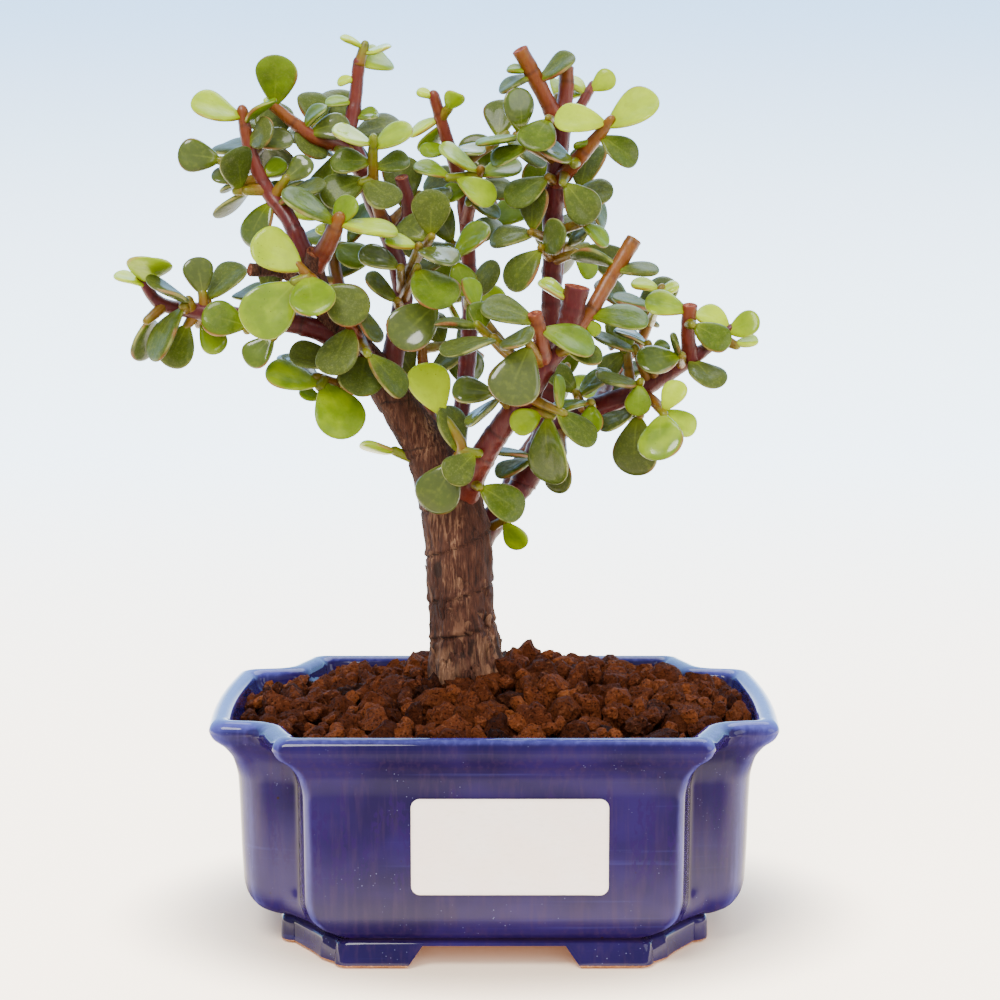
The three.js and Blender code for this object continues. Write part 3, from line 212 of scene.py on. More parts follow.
# Each shoot: its limb, the place of its tip, and its leaves, each as the way from there to the leaf's own tip and
# the degrees that its face is turned from the light.
SHOOTS = [
    ("front_bough", (7.5, -25, 129.5), (-5, -6, -11, -15)),
    ("knuckle", (9, -24, 134.5), (-11, -0.5, 4.5, 5), (11.5, -1, -3.5, -5)),
    ("front_bough", (0.5, -23, 130.5), (-12, -0.5, 0, 20), (7, -0.5, 3.5, -5)),
    ("front_bough", (-3, -22, 133), (-9, -0.5, 1.5, 30), (-1, 2, 6, 10)),
    ("front_left", (-32.5, -20, 154), (12.5, 0, -1, -20)),
    ("front_bough", (15, -20, 128), (7.5, -0.5, -1, 5)),
    ("front_left", (-33.5, -19, 155), (-10, -3, 7.5, 15), (3.5, -0.5, 6.5, 5)),
    ("front_left_low", (-41.5, -18, 142.5), (-9.5, -5.5, -10, -30)),
    ("front_left_low", (-37, -18, 143), (9.5, -3.5, -5.5, 35)),
    ("front_bough", (14, -18, 115), (0, 0, 7.5, 70), (8.5, -1.5, -6.5, -10)),
    ("front_left_low", (-41, -17, 145.5), (-9.5, -3, 7, -25), (1.5, -5.5, -6.5, 0)),
    ("front_left_low", (-27, -17, 127.5), (8, -1, -8.5, -20)),
    ("front_bough", (15, -17, 139.5), (-7, 0, 4.5, 20)),
    ("front_bough", (0.5, -16, 118.5), (-9, -0.5, 1.5, -10), (-7, -4, -5, 40)),
    ("front_left_low", (-30.5, -15, 133.5), (-2.5, -1.5, -10, 5)),
    ("mid_leader", (-16, -15, 149.5), (-6.5, -1, 2, 5), (8, 0, 0, -10)),
    ("front_bough", (11.5, -15, 114), (0.5, -2, -14.5, 50), (-6, -3.5, -2.5, -35)),
    ("low_left", (-66, -14, 137), (-8.5, -3, -10, 25)),
    ("mid_leader", (-13.5, -14, 151.5), (0.5, -3.5, 9.5, 5), (-5.5, -1, 5, -15)),
    ("front_bough", (-3.5, -14, 136), (-2, 1, 7, 30)),
    ("right_hang", (36.5, -14, 114.5), (3.5, -0.5, 6.5, -5), (7, -1.5, -4, 5)),
    ("right_hang", (37, -14.5, 114), (0, -2, -10.5, 10)),
    ("low_left", (-73.5, -13, 134.5), (-2.5, -1, -9, 5)),
    ("low_left", (-65, -13, 138), (-5, -2, 3.5, -15)),
    ("low_left", (-75, -12, 143), (3.5, -9.5, 6, -35), (-6, -2.5, 3, 20)),
    ("low_left", (-52.5, -12, 132.5), (-9, -2.5, 3, -35)),
    ("low_left", (-47, -12, 131), (-5.5, -1.5, -6, -15)),
    ("mid_leader", (-12, -12, 137.5), (-8.5, -6.5, -7.5, -25)),
    ("crotch", (-4, -12, 105.5), (-5.5, -5, -5, -25)),
    ("mid_leader", (-16.5, -12, 145), (8.5, -3, -9.5, -10)),
    ("mid_leader", (-20, -11, 145), (-8, -1.5, 4, -5)),
    ("orange_stub", (21.5, -11, 134.5), (12.5, -2, 0, -10), (4, -5, -3, 20)),
    ("low_left", (-62.5, -10, 139), (-1, -1, 8, 5)),
    ("low_left", (-65.5, -10, 133.5), (-4.5, -1.5, -9, -20)),
    ("crotch", (-7.5, -10, 105), (-2.5, 0.5, 10.5, 30), (-6.5, -2, -10.5, -15)),
    ("front_bough", (-3.5, -10, 98), (9.5, -1, -5.5, 15)),
    ("left_hang", (-37.5, -9, 120), (-11, -2.5, 3.5, 0), (7.5, -1, -14, -10)),
    ("mid_green", (-25.5, -9, 171.5), (-8, -2, 3.5, 5), (7.5, -0.5, 5.5, 0)),
    ("right_bough", (31.5, -9, 120.5), (-0.5, -5, -7, 0), (-8, -3, 2, 10)),
    ("front_left_low", (-29.5, -9, 137.5), (3.5, -1, -8.5, -30)),
    ("crotch", (-11, -10, 114.5), (-4.5, -1.5, 11, 5)),
    ("low_left", (-63.5, -8, 133.5), (4.5, -1, -6, 10)),
    ("low_left", (-62, -8, 138), (7.5, 1, 8, -10)),
    ("right_bough", (21, -8, 116), (0, -3, -6, 10), (-8, -5, 0, 30)),
    ("right_bough", (40.5, -8, 126), (-10.5, 0, -1.5, -10), (-2, -3, 5, 20)),
    ("right_stub", (42, -8, 136), (-9, 0.5, 3, -5)),
    ("right_stub", (42.5, -8, 133), (8, -1.5, -4, 15)),
    ("left_hang", (-32.5, -8, 124), (-10, -3, 4, 0)),
    ("upper_left", (-54.5, -7, 161.5), (-0.5, -2, 9.5, 45)),
    ("upper_left", (-50.5, -7, 161.5), (5.5, 0, 6.5, 5)),
    ("upper_left", (-52.5, -7, 161.5), (-8, -2, -2, 5)),
    ("upper_left", (-45, -7, 163.5), (5.5, 0, 4.5, 20)),
    ("orange_stub", (27, -7, 146.5), (-9.5, 0.5, 3, 55), (9, -1.5, 1, -15)),
    ("front_left_low", (-28.5, -8.5, 126), (-3, -1, -9, 0)),
    ("upper_left", (-48.5, -6, 159.5), (-6, -1, -9, 5), (8, 3, 7, 0)),
    ("mid_green", (-25.5, -6, 167.5), (-8.5, -1.5, 0.5, -15), (7.5, 0, 2, 10)),
    ("right_bough", (15, -6, 105), (-1.5, -1, -8.5, 25)),
    ("right_bough", (31.5, -6, 113.5), (-1.5, -1.5, -13, 20), (-8, -3, -3, 20)),
    ("right_bough", (33.5, -6, 128), (-7, -3, 4, 20), (5, -3, 3, 20)),
    ("upper_left", (-54, -5, 178), (-10, -4, 3.5, -5), (7.5, 0, 6.5, -30)),
    ("upper_left", (-52, -5, 172.5), (9, 0.5, 2, 5)),
    ("upper_left", (-58.5, -5, 168), (-8.5, -3, 1.5, -45)),
    ("side_shoot", (24, -5, 176.5), (-11, 0, 1.5, -10), (10.5, -3, 6.5, 10)),
    ("left_hang", (-37.5, -5, 116.5), (-4.5, -1, 2, -5)),
    ("upper_left", (-51.5, -4, 172.5), (9, 2, 2, 30), (-8, 7, 2, 0)),
    ("mid_green", (-28, -4.5, 163.5), (8.5, -1, -4, 0), (-10, -4, -3, -20)),
    ("side_shoot", (23, -4, 173), (8, -0.5, -5.5, 10), (-5, 3, -3, 40)),
    ("right_bough", (18, -4, 117.5), (-5.5, 0.5, 6, -5), (6.5, -0.5, 6, -15)),
    ("right_bough", (31, -4, 127), (-9, -3, 4, 20)),
    ("right_bough", (43.5, -5, 125), (7, -3, -4.5, -5)),
    ("right_bough", (52, -4, 128.5), (5, -1, 1, -10)),
    ("upper_left", (-52, -4, 169.5), (-7, 4, -3, 0)),
    ("low_leaf", (-21.6, -3, 104.8), (-8, 0, 2, 60)),
    ("right_bough", (52.5, -3, 132), (-7, -1.5, 4.5, 0), (5.5, 2, 2, 30)),
    ("mid_leader", (-21, -3, 137.5), (-6, -3, 6, 10)),
    ("mid_left", (-48.5, -2, 179), (1, -5, 10, 20), (-3.5, -1.5, 2.5, 0)),
    ("mid_left", (-41, -2, 175.5), (4, -0.5, 5.5, -20), (8, 0, 4, 20)),
    ("left_hang", (-38, -2, 119.5), (-10.5, -2.5, 8, 25)),
    ("tall_middle", (-9, -2, 147), (7, -3, 7, 0), (3, -2, -7, 10)),
    ("tall_right", (7.5, -2, 171), (-8, -0.5, -3, 5)),
    ("side_shoot", (17.5, -1, 167.5), (-8, -0.5, 3.5, 0)),
    ("side_shoot", (15, -1, 163.5), (6.5, -1, -8, 20)),
    ("tall_right", (5.5, 0, 173.5), (0, -2.5, 9.5, 35), (-10, -4, -1, 30)),
    ("tall_right", (12, 0, 177), (-6.5, -1, -6.5, -5)),
    ("top_left_stub", (6.5, 1, 187.5), (-5, 0, 0.5, 10)),
    ("right_bough", (2, 1, 89), (4, -1, -6, 60)),
    ("tall_right", (12, 2, 164.5), (-9, -3, -5, 0)),
    ("tall_right", (8.5, 2, 152.5), (0.5, -1.5, 9.5, -35), (-10, 0, -1, 5)),
    ("tall_right", (10.5, 2, 149), (-7.5, -1, -8, 0), (3.5, -4.5, 5.5, 70)),
    ("tall_right", (19, 2, 154.5), (6, -0.5, -4, -5)),
    ("tall_right", (17.5, 2, 148), (4.5, -0.5, -4.5, 10)),
    ("mid_leader", (-33.5, 2, 170.5), (-4, -3, -14, 20)),
    ("mid_right", (-9.5, 3, 164.5), (-7.5, -1, 3, 5), (8, -3, -5, 0)),
    ("top_left_stub", (10, 3, 186.5), (7.5, -2, 5.5, -5)),
    ("top_left_stub", (7, 3, 186.5), (-7.5, -0.5, -2.5, 15)),
    ("right_bough", (8.5, 3, 103), (-8, -3, 2, 30), (-8, -3, -3, 20)),
    ("mid_leader", (-32, 5, 182), (-6, -1, 0.5, 5)),
    ("mid_leader", (-30.5, 5, 179), (5.5, 0, 1, 5)),
    ("mid_leader", (-28.5, 6, 192.5), (-4.5, -1.5, 2.5, 20), (6, 0, 2, -20)),
    ("mid_leader", (-31.5, 6, 187), (-4, -0.5, 0, 0)),
    ("mid_leader", (-28, 6, 189), (5, -0.5, 3, 10)),
    ("mid_right", (-3.5, 6, 166), (-8.5, -1.5, 5.5, 10), (9, -0.5, 3, 5)),
    ("mid_right", (-5.5, 8, 159.5), (6.5, -0.5, -3, -5)),
    ("mid_right", (-5, 8, 163), (-6, -0.5, -2.5, -10)),
    ("tall_right", (14, 9, 181.5), (6, 3, 4, 30)),
    ("right_rear", (36, 10, 135), (-9, -2, 4, 20)),
    ("tall_middle", (-6, 11, 137.5), (6, -4, 8, 0), (3, -3, -5, 10)),
    ("tall_middle", (-12, 12, 182.5), (-3.5, -0.5, 2, 5)),
    ("tall_middle", (-10.5, 12, 179.5), (2.5, -4, 3.5, -70)),
    ("top_shoot", (22, 12, 183.5), (5, -1.5, 3.5, 40), (-5, 4, 5, 20)),
    ("tall_middle", (-11, 13, 179.5), (-7, -0.5, -2.5, 0), (-8, -3, -4, 30)),
    ("tall_middle", (-10.5, 15, 173), (-6.5, 0, -1.5, 5), (7.5, 0, 0.5, -15)),
    ("right_rear", (39, 18, 141), (-6, 0.5, 2.5, 10), (4, -1, 3, -5)),
]

# How many shoots grow by rule from the far side of each limb.
REAR_SHOOTS = {
    "low_left": 1,
    "upper_left": 2,
    "mid_leader": 2,
    "mid_left": 1,
    "tall_middle": 3,
    "right_bough": 2,
    "right_rear": 1,
    "tall_right": 1,
    "tall_rear": 2,
    "rear_left": 3,
    "rear_middle": 3,
    "rear_right": 1,
}


# ---------------------------------------------------------------- the pot's shape
# Outside levels from the foot up, in millimetres: height, half sizes of the straight front panel and of the depth,
# of the side lobe (ear) and its reach forward (arm), the crease between lobe and panel, the lobe's rounding, and
# how far along its two sides the crease is eased.
LEVELS = np.array([
    (0, 33.7, 39.8, 47.5, 23.6, 38, 31.5, 3, 3.1),
    (4.9, 33.1, 38.7, 47.4, 23.1, 37.5, 30.8, 3, 3.1),
    (5.9, 32.2, 37.6, 46.6, 22.6, 36.8, 30, 3, 3.1),
    (6.5, 33.6, 38.5, 49.2, 23.9, 38.3, 30.4, 4, 3),
    (8.2, 36.6, 39.6, 52.9, 25.8, 40.2, 30, 6, 2),
    (11, 38.8, 40.3, 55.1, 26.7, 41.3, 29, 8, 1.5),
    (14.5, 39.6, 40.4, 55.8, 26.8, 41.4, 28.2, 8, 1.3),
    (36, 39.8, 40.4, 56.6, 27, 41.6, 28, 8, 1.3),
    (40.5, 40.6, 40.9, 57.4, 27.3, 42.6, 28.3, 7, 1.5),
    (43.6, 42.4, 42.2, 59.2, 27.9, 45, 29, 5.5, 2.8),
    (45.8, 44.9, 43.8, 61.4, 28.6, 48, 29.7, 4, 4.2),
    (47.6, 45.7, 44.3, 62.1, 28.9, 49.2, 30.2, 3.4, 5),
])
FOOT_HEIGHT = 4.6
FLOOR_TOP = 9.4
DRAIN_X = 20
DRAIN_RADIUS = 5
EAR_BULGE = 0.045


def level_at(z):
    """The pot's outside sizes at a height, on a smooth curve that never overshoots the listed levels."""
    heights = LEVELS[:, 0]
    z = min(max(z, heights[0]), heights[-1])
    k = min(int(np.searchsorted(heights, z, side="right")) - 1, len(heights) - 2)
    steps = np.diff(LEVELS[:, 1:], axis=0) / np.diff(heights)[:, None]

    def slope(i):
        if i == 0 or i == len(heights) - 1:
            return steps[min(i, len(steps) - 1)]
        low, high = steps[i - 1], steps[i]
        same = low * high > 0
        total = np.where(same, low + high, 1)
        return np.where(same, 2 * low * high / total, 0)

    width = heights[k + 1] - heights[k]
    t = (z - heights[k]) / width
    a, b = LEVELS[k, 1:], LEVELS[k + 1, 1:]
    return (
        (1 + 2 * t) * (1 - t) ** 2 * a
        + t * (1 - t) ** 2 * width * slope(k)
        + t * t * (3 - 2 * t) * b
        + t * t * (t - 1) * width * slope(k + 1)
    )


def bezier(a, b, c, steps):
    t = (np.arange(steps) / steps)[:, None]
    a, b, c = (np.array(p, float) for p in (a, b, c))
    return (1 - t) ** 2 * a + 2 * t * (1 - t) * b + t * t * c


def arc(middle, radius, start, end, steps):
    angles = np.radians(np.linspace(start, end, steps, endpoint=False))
    return np.array(middle) + radius * np.stack([np.cos(angles), np.sin(angles)], axis=1)


def line(a, b, steps):
    t = (np.arange(steps) / steps)[:, None]
    return np.array(a, float) * (1 - t) + np.array(b, float) * t


def toward(start, end, distance):
    """The point that lies the distance from the start, on the line to the end."""
    way = np.subtract(end, start)
    return np.array(start) + way / np.linalg.norm(way) * distance


def quarter_plan(level):
    """One quarter of the notched plan, from the middle of the back panel to the middle of the ear."""
    panel, depth, ear, arm, notch_x, notch_y, rounding, bend = level
    corner = min(2.6, rounding)
    swell = arm * EAR_BULGE
    side = (panel, depth - corner)
    middle = (mix(notch_x, panel, 0.3), mix(notch_y, depth, 0.35))
    crease = (notch_x, notch_y)
    shoulder = (ear - swell - rounding, arm)
    before, after = (toward(crease, p, bend) for p in (middle, shoulder))
    end = np.radians(5.4)
    lobe = (ear - swell - rounding + rounding * np.cos(end), arm - rounding + rounding * np.sin(end))
    return np.concatenate([
        line((0, depth), (panel - corner, depth), 9),
        arc((panel - corner, depth - corner), corner, 90, 0, 8),
        bezier(side, middle, before, 9),
        bezier(before, crease, after, 7),
        line(after, shoulder, 4),
        arc((shoulder[0], arm - rounding), rounding, 90, 5.4, 12),
        bezier(lobe, (ear, arm * 0.42), (ear, 0), 10),
        [(ear, 0)],
    ])


def plan(level):
    """The whole plan, anticlockwise from the middle of the right ear."""
    quarter = quarter_plan(level)
    back_right = quarter[::-1]
    back_left = quarter[1:] * (-1, 1)
    front_left = quarter[::-1][1:] * (-1, -1)
    front_right = quarter[1:-1] * (1, -1)
    return np.concatenate([back_right, back_left, front_left, front_right])


def moved_in(level, by):
    return level - np.array([by, by, by, by, by, by, 0, 0])


def ring_at(z, inset, height=None):
    """The plan at a height, moved in from the outside there, laid at its own height or another one."""
    outline = plan(moved_in(level_at(z), inset))
    return np.column_stack([outline, np.full(len(outline), z if height is None else height)])


def loft(rings):
    """Closed body through rings of as many points each, shut by a middle point at both ends."""
    count = len(rings[0])
    places = np.concatenate([*rings, [rings[0].mean(axis=0)], [rings[-1].mean(axis=0)]])
    here = np.arange(count)
    after = (here + 1) % count
    faces = []
    for k in range(len(rings) - 1):
        low, high = k * count, (k + 1) * count
        faces.extend(np.column_stack([low + here, low + after, high + after, high + here]).tolist())
    first, last = len(rings) * count, len(rings) * count + 1
    faces.extend(np.column_stack([np.full(count, first), after, here]).tolist())
    top = (len(rings) - 1) * count
    faces.extend(np.column_stack([np.full(count, last), top + here, top + after]).tolist())
    return places, faces


# ---------------------------------------------------------------- meshes
def new_object(name, places, faces, material, smooth=True):
    """An object from places in millimetres round the pot's middle."""
    mesh = bpy.data.meshes.new(name)
    mesh.from_pydata(((np.asarray(places) + POT_MIDDLE) * MM).tolist(), [], faces)
    if smooth:
        mesh.shade_smooth()
    thing = bpy.data.objects.new(name, mesh)
    bpy.context.scene.collection.objects.link(thing)
    if material:
        mesh.materials.append(material)
    return thing


def places_of(thing):
    """The places of an object's points, in millimetres round the pot's middle."""
    flat = np.empty(len(thing.data.vertices) * 3)
    thing.data.vertices.foreach_get("co", flat)
    return flat.reshape(-1, 3) / MM - np.array(POT_MIDDLE)


def set_places(thing, places):
    flat = ((places + np.array(POT_MIDDLE)) * MM).astype(np.float32).ravel()
    thing.data.vertices.foreach_set("co", flat)


def give(thing, **layers):
    """Stores a number for every point of an object under each name."""
    for name, values in layers.items():
        layer = thing.data.attributes.new(name, "FLOAT", "POINT")
        whole = np.broadcast_to(values, len(layer.data))
        layer.data.foreach_set("value", np.ascontiguousarray(whole, np.float32))


class Heap:
    """Gathers many small bodies into one mesh, with a number for every point under each name."""

    def __init__(self):
        self.places = []
        self.faces = []
        self.layers = {}
        self.count = 0

    def add(self, places, faces, **layers):
        self.places.append(places)
        self.faces.extend([i + self.count for i in face] for face in faces)
        for name, values in layers.items():
            self.layers.setdefault(name, []).append(np.broadcast_to(values, len(places)))
        self.count += len(places)

    def build(self, name, material, smooth=True):
        thing = new_object(name, np.concatenate(self.places), self.faces, material, smooth)
        give(thing, **{key: np.concatenate(values) for key, values in self.layers.items()})
        return thing


def cut(thing, places, faces):
    """Takes a closed body away from an object."""
    tool = new_object("cutter", places, faces, None, smooth=False)
    change = thing.modifiers.new("cut", "BOOLEAN")
    change.operation = "DIFFERENCE"
    change.object = tool
    change.solver = "EXACT"
    bpy.context.view_layer.update()
    made = bpy.data.meshes.new_from_object(thing.evaluated_get(bpy.context.evaluated_depsgraph_get()))
    thing.modifiers.remove(change)
    old, thing.data = thing.data, made
    name = old.name
    bpy.data.meshes.remove(old)
    made.name = name
    blade = tool.data
    bpy.data.objects.remove(tool)
    bpy.data.meshes.remove(blade)


def noise_at(places, size, seed=0, octaves=2):
    """Smooth noise from about -1 to 1 at each place, of about one size in millimetres."""
    shift = Vector((seed * 7.31, seed * 3.17, seed * 5.53))
    return np.array([
        noise.fractal(Vector(p) / size + shift, 0.6, 2.1, octaves, noise_basis="PERLIN_ORIGINAL") for p in places
    ])


# ---------------------------------------------------------------- curves and tubes
class Path:
    """A smooth curve through points, each with its radius as the fourth number."""

    def __init__(self, points):
        points = np.array(points, float)
        self.points, self.radii = points[:, :3].copy(), points[:, 3].copy()
        ends = 2 * self.points[0] - self.points[1], 2 * self.points[-1] - self.points[-2]
        self.padded = np.concatenate([[ends[0]], self.points, [ends[1]]])

    def at(self, t):
        t = np.asarray(t, float)
        spans = len(self.points) - 1
        whole = np.minimum(np.floor(t * spans), spans - 1).astype(int)
        w = (t * spans - whole)[..., None]
        a, b, c, d = (self.padded[whole + i] for i in range(4))
        start, end = (c - a) / 2, (d - b) / 2
        bend = -3 * b + 3 * c - 2 * start - end
        twist = 2 * b - 2 * c + start + end
        return b + start * w + bend * w**2 + twist * w**3

    def way(self, t):
        t = np.asarray(t, float)
        step = self.at(np.minimum(t + 1e-4, 1)) - self.at(np.maximum(t - 1e-4, 0))
        return step / np.linalg.norm(step, axis=-1, keepdims=True)

    def length(self):
        return np.linalg.norm(np.diff(self.at(np.linspace(0, 1, 201)), axis=0), axis=1).sum()

    def radius(self, t):
        return np.interp(np.asarray(t, float) * (len(self.radii) - 1), np.arange(len(self.radii)), self.radii)

    def even(self, step):
        """Shares of the path that lie about evenly along it, and how far along each lies."""
        fine = np.linspace(0, 1, 400)
        run = np.concatenate([[0], np.linalg.norm(np.diff(self.at(fine), axis=0), axis=1).cumsum()])
        along = np.linspace(0, run[-1], max(4, int(run[-1] / step) + 1))
        return np.interp(along, run, fine), along


def frames(path, shares):
    """Two directions across the path at each share, carried along it without twisting."""
    ways = path.way(shares)
    across = np.array((0, 0, 1.0) if abs(ways[0][0]) > 0.8 else (1.0, 0, 0))
    sides = []
    for way in ways:
        across = across - way * across.dot(way)
        across /= np.linalg.norm(across)
        sides.append(across)
    sides = np.array(sides)
    return ways, sides, np.cross(sides, ways)


def unit(v):
    v = np.asarray(v, float)
    return v / np.linalg.norm(v)


# ---------------------------------------------------------------- how the shoots grow
# Leaves: how far the foot stands off, how deep the blade is cupped, how far it curls back, its width and the
# greatest length.
LEAF = {"foot": 0.4, "cup": 0.08, "curl": 0.1, "ratio": 1.03, "longest": 14.5}
# Twigs: the radius at both ends, how far a twig runs on past its tip, and how much lower every second leaf stands.
TWIG = {"root": 1.15, "tip": 0.95, "bud": 0.8, "step": 1.3}
# Shoots on the far side: their lengths, the lengths of their leaves, the most rise, the step from pair to pair and
# the most turn of a leaf.
REAR = {"seed": 8, "length": (9, 13), "leaf": (9.5, 12), "lift": 0.55, "pairs": 4.5, "turn": 40}
# How a leaf makes room: the most tries, the radius of its own marks, the gap to wood, and what every further try
# adds in turn, swing and shrinking.
AVOID = {
    "seed": 23, "tries": 60, "leaf": 1, "gap": 0.35, "turn": 0.8, "swing": (0.012, 0.05, 0.012), "shrink": 0.005,
}
# Shares along a leaf at which it has to be clear.
TRIED = (0.28, 0.45, 0.62, 0.79, 0.96)
# The way that the faces of leaves turn to.
LIGHT = np.array([0, -0.6, 0.8])
UP = np.array([0, 0, 1.0])


def leaf_width(a):
    """Half the width of a leaf of length 1 at a share of its length: a wedge-shaped foot and a round tip."""
    a = np.asarray(a, float)
    return np.sqrt(np.maximum(0, a * (1 - a))) * (0.3 + 0.72 * a**0.75)


def leaf_axes(along, turn):
    face = LIGHT - along * LIGHT.dot(along)
    if np.linalg.norm(face) < 0.15:
        face = UP - along * along[2]
    face = unit(face)
    angle = np.radians(turn)
    face = face * np.cos(angle) + np.cross(along, face) * np.sin(angle)
    return {"along": along, "face": face, "across": np.cross(face, along)}


def leaf_point(leaf, a, b):
    """Places on the middle face of a leaf: shares along and across it."""
    a, b = a[:, None], b[:, None]
    bend = LEAF["cup"] * b * b * 4 - LEAF["curl"] * a * a
    size = leaf["length"]
    return (
        leaf["root"]
        + leaf["along"] * a * size
        + leaf["across"] * b * size * LEAF["ratio"]
        + leaf["face"] * bend * size
    )


class Marks:
    """Balls along the limbs, twigs and leaves, which later leaves keep off."""

    def __init__(self):
        self.at = np.zeros((0, 3))
        self.radius = np.zeros(0)
        self.owner = np.zeros(0, int)

    def add(self, at, radius, owner):
        self.at = np.concatenate([self.at, at])
        self.radius = np.concatenate([self.radius, np.broadcast_to(radius, len(at))])
        self.owner = np.concatenate([self.owner, np.full(len(at), owner)])

    def add_limb(self, path, owner):
        shares = np.linspace(0, 1, int(np.ceil(path.length() / 1.6)) + 1)
        self.add(path.at(shares), path.radius(shares) + AVOID["gap"], owner)

    def clear(self, leaf, samples, owners):
        near = np.linalg.norm(self.at - leaf["root"], axis=1) <= leaf["length"] + 6
        near &= ~np.isin(self.owner, owners)
        away = np.linalg.norm(samples[:, None] - self.at[near], axis=2)
        return not (away < self.radius[near] + AVOID["leaf"]).any()


def settle_leaf(marks, dodge, root, way, turn, owners):
    """Places a leaf as asked, or bent, turned and shrunk a little more at each try until it is clear."""
    length = np.linalg.norm(way)
    aim = way / length
    for k in range(AVOID["tries"]):
        swing = np.array([(dodge() - 0.5) * 2 * most * k for most in AVOID["swing"]])
        twist = (dodge() - 0.5) * 2 * AVOID["turn"] * k
        along = aim + swing
        size = min(LEAF["longest"], length * np.linalg.norm(along)) * (1 - AVOID["shrink"] * k)
        along = unit(along)
        leaf = {"root": root + along * LEAF["foot"], "length": size, **leaf_axes(along, turn + twist)}
        shares = np.repeat(TRIED, 3)
        samples = leaf_point(leaf, shares, np.tile([-1, 0, 1], len(TRIED)) * leaf_width(shares) * 0.85)
        if marks.clear(leaf, samples, owners):
            marks.add(samples, AVOID["leaf"], -1)
            return leaf
    return None


def rear_shoots(paths):
    """Shoots on the far side: each leaves its limb away from the front and ends in two crossed pairs of leaves."""
    draw = seeded(REAR["seed"])
    made = []
    for name, count in REAR_SHOOTS.items():
        for k in range(count):
            t = mix(0.42, 0.98, (k + 0.6 * draw()) / count)
            length = mix(*REAR["length"], draw())
            bearing = mix(0.05, 0.95, draw()) * math.pi
            out = unit((math.cos(bearing), math.sin(bearing), REAR["lift"] * draw() + 0.1))
            side = unit(np.cross(UP, out))
            rise = np.cross(out, side)
            roll = draw() * math.pi
            leaves = []
            for pair in range(2):
                for sign in (-1, 1):
                    angle = roll + pair * math.pi / 2
                    way = side * math.cos(angle) * sign + rise * math.sin(angle) * sign
                    way = unit(way + out * (0.25 if pair else 0.6))
                    size = mix(*REAR["leaf"], draw())
                    leaves.append((way * size, REAR["turn"] * (draw() - 0.5), pair * REAR["pairs"]))
            made.append({"limb": name, "tip": paths[name].at(t) + out * length, "leaves": leaves})
    return made


def twig_of(path, tip):
    """The twig that carries a shoot's leaves, or none where the leaves stand on the limb itself."""
    shares = np.arange(2, 41) / 40
    away = np.linalg.norm(path.at(shares) - tip, axis=1)
    k = int(away.argmin())
    t, away = shares[k], away[k]
    if away < path.radius(t) + 0.6:
        root = path.at(max(0, t - TWIG["bud"] / path.length()))
        return {"root": root, "down": -path.way(t), "path": None, "t": t}
    root = path.at(max(0.06, t - 0.3 * away / path.length()))
    down = unit(root - tip)
    twig = Path([(*root, TWIG["root"]), (*(tip - down * TWIG["bud"]), TWIG["tip"])])
    return {"root": np.array(tip, float), "down": down, "path": twig, "t": t}


def grow():
    """All limbs as paths and all shoots with their twigs and settled leaves."""
    paths = {name: Path(limb.points) for name, limb in LIMBS.items()}
    shoots = [
        {"limb": limb, "tip": np.array(tip, float), "leaves": [(np.array(w[:3], float), w[3], 0) for w in ways]}
        for limb, tip, *ways in SHOOTS
    ]
    shoots += rear_shoots(paths)
    marks = Marks()
    names = list(LIMBS)
    for k, name in enumerate(names):
        marks.add_limb(paths[name], k)
    for k, shoot in enumerate(shoots):
        shoot["twig"] = twig_of(paths[shoot["limb"]], shoot["tip"])
        shoot["owner"] = len(names) + k
        if shoot["twig"]["path"]:
            marks.add_limb(shoot["twig"]["path"], shoot["owner"])
    dodge = seeded(AVOID["seed"])
    for shoot in shoots:
        twig = shoot["twig"]
        owners = [names.index(shoot["limb"]), shoot["owner"]]
        shoot["grown"] = []
        for k, (way, turn, back) in enumerate(shoot["leaves"]):
            foot = twig["root"] + twig["down"] * (back + k % 2 * TWIG["step"])
            shoot["grown"].append(settle_leaf(marks, dodge, foot, way, turn, owners))
    return paths, shoots


# ---------------------------------------------------------------- shader kit
class Wire:
    """A shader socket that can be reckoned with: numbers give Math nodes, vectors Vector Math, colours Mix."""

    def __init__(self, finish, socket):
        self.finish = finish
        self.socket = socket

    def reckon(self, operation, first, second):
        if "RGBA" in [getattr(value, "socket", self.socket).type for value in (first, second)]:
            return self.finish.blend(operation, 1.0, first, second)
        kind = "ShaderNodeVectorMath" if self.socket.type == "VECTOR" else "ShaderNodeMath"
        return self.finish.node(kind, {"operation": operation}, {0: first, 1: second})

    def __add__(self, other):
        return self.reckon("ADD", self, other)

    def __radd__(self, other):
        return self.reckon("ADD", other, self)

    def __sub__(self, other):
        return self.reckon("SUBTRACT", self, other)

    def __rsub__(self, other):
        return self.reckon("SUBTRACT", other, self)

    def __mul__(self, other):
        return self.reckon("MULTIPLY", self, other)

    def __rmul__(self, other):
        return self.reckon("MULTIPLY", other, self)

    def __truediv__(self, other):
        return self.reckon("DIVIDE", self, other)

    def __rtruediv__(self, other):
        return self.reckon("DIVIDE", other, self)

    def larger(self, other):
        return self.reckon("MAXIMUM", self, other)

    def between(self, low, high):
        """0 below low, 1 above high and a smooth rise between; the other way round where low is the larger."""
        inputs = {0: self, 1: low, 2: high, 3: 0.0, 4: 1.0}
        return self.finish.node("ShaderNodeMapRange", {"interpolation_type": "SMOOTHSTEP"}, inputs)


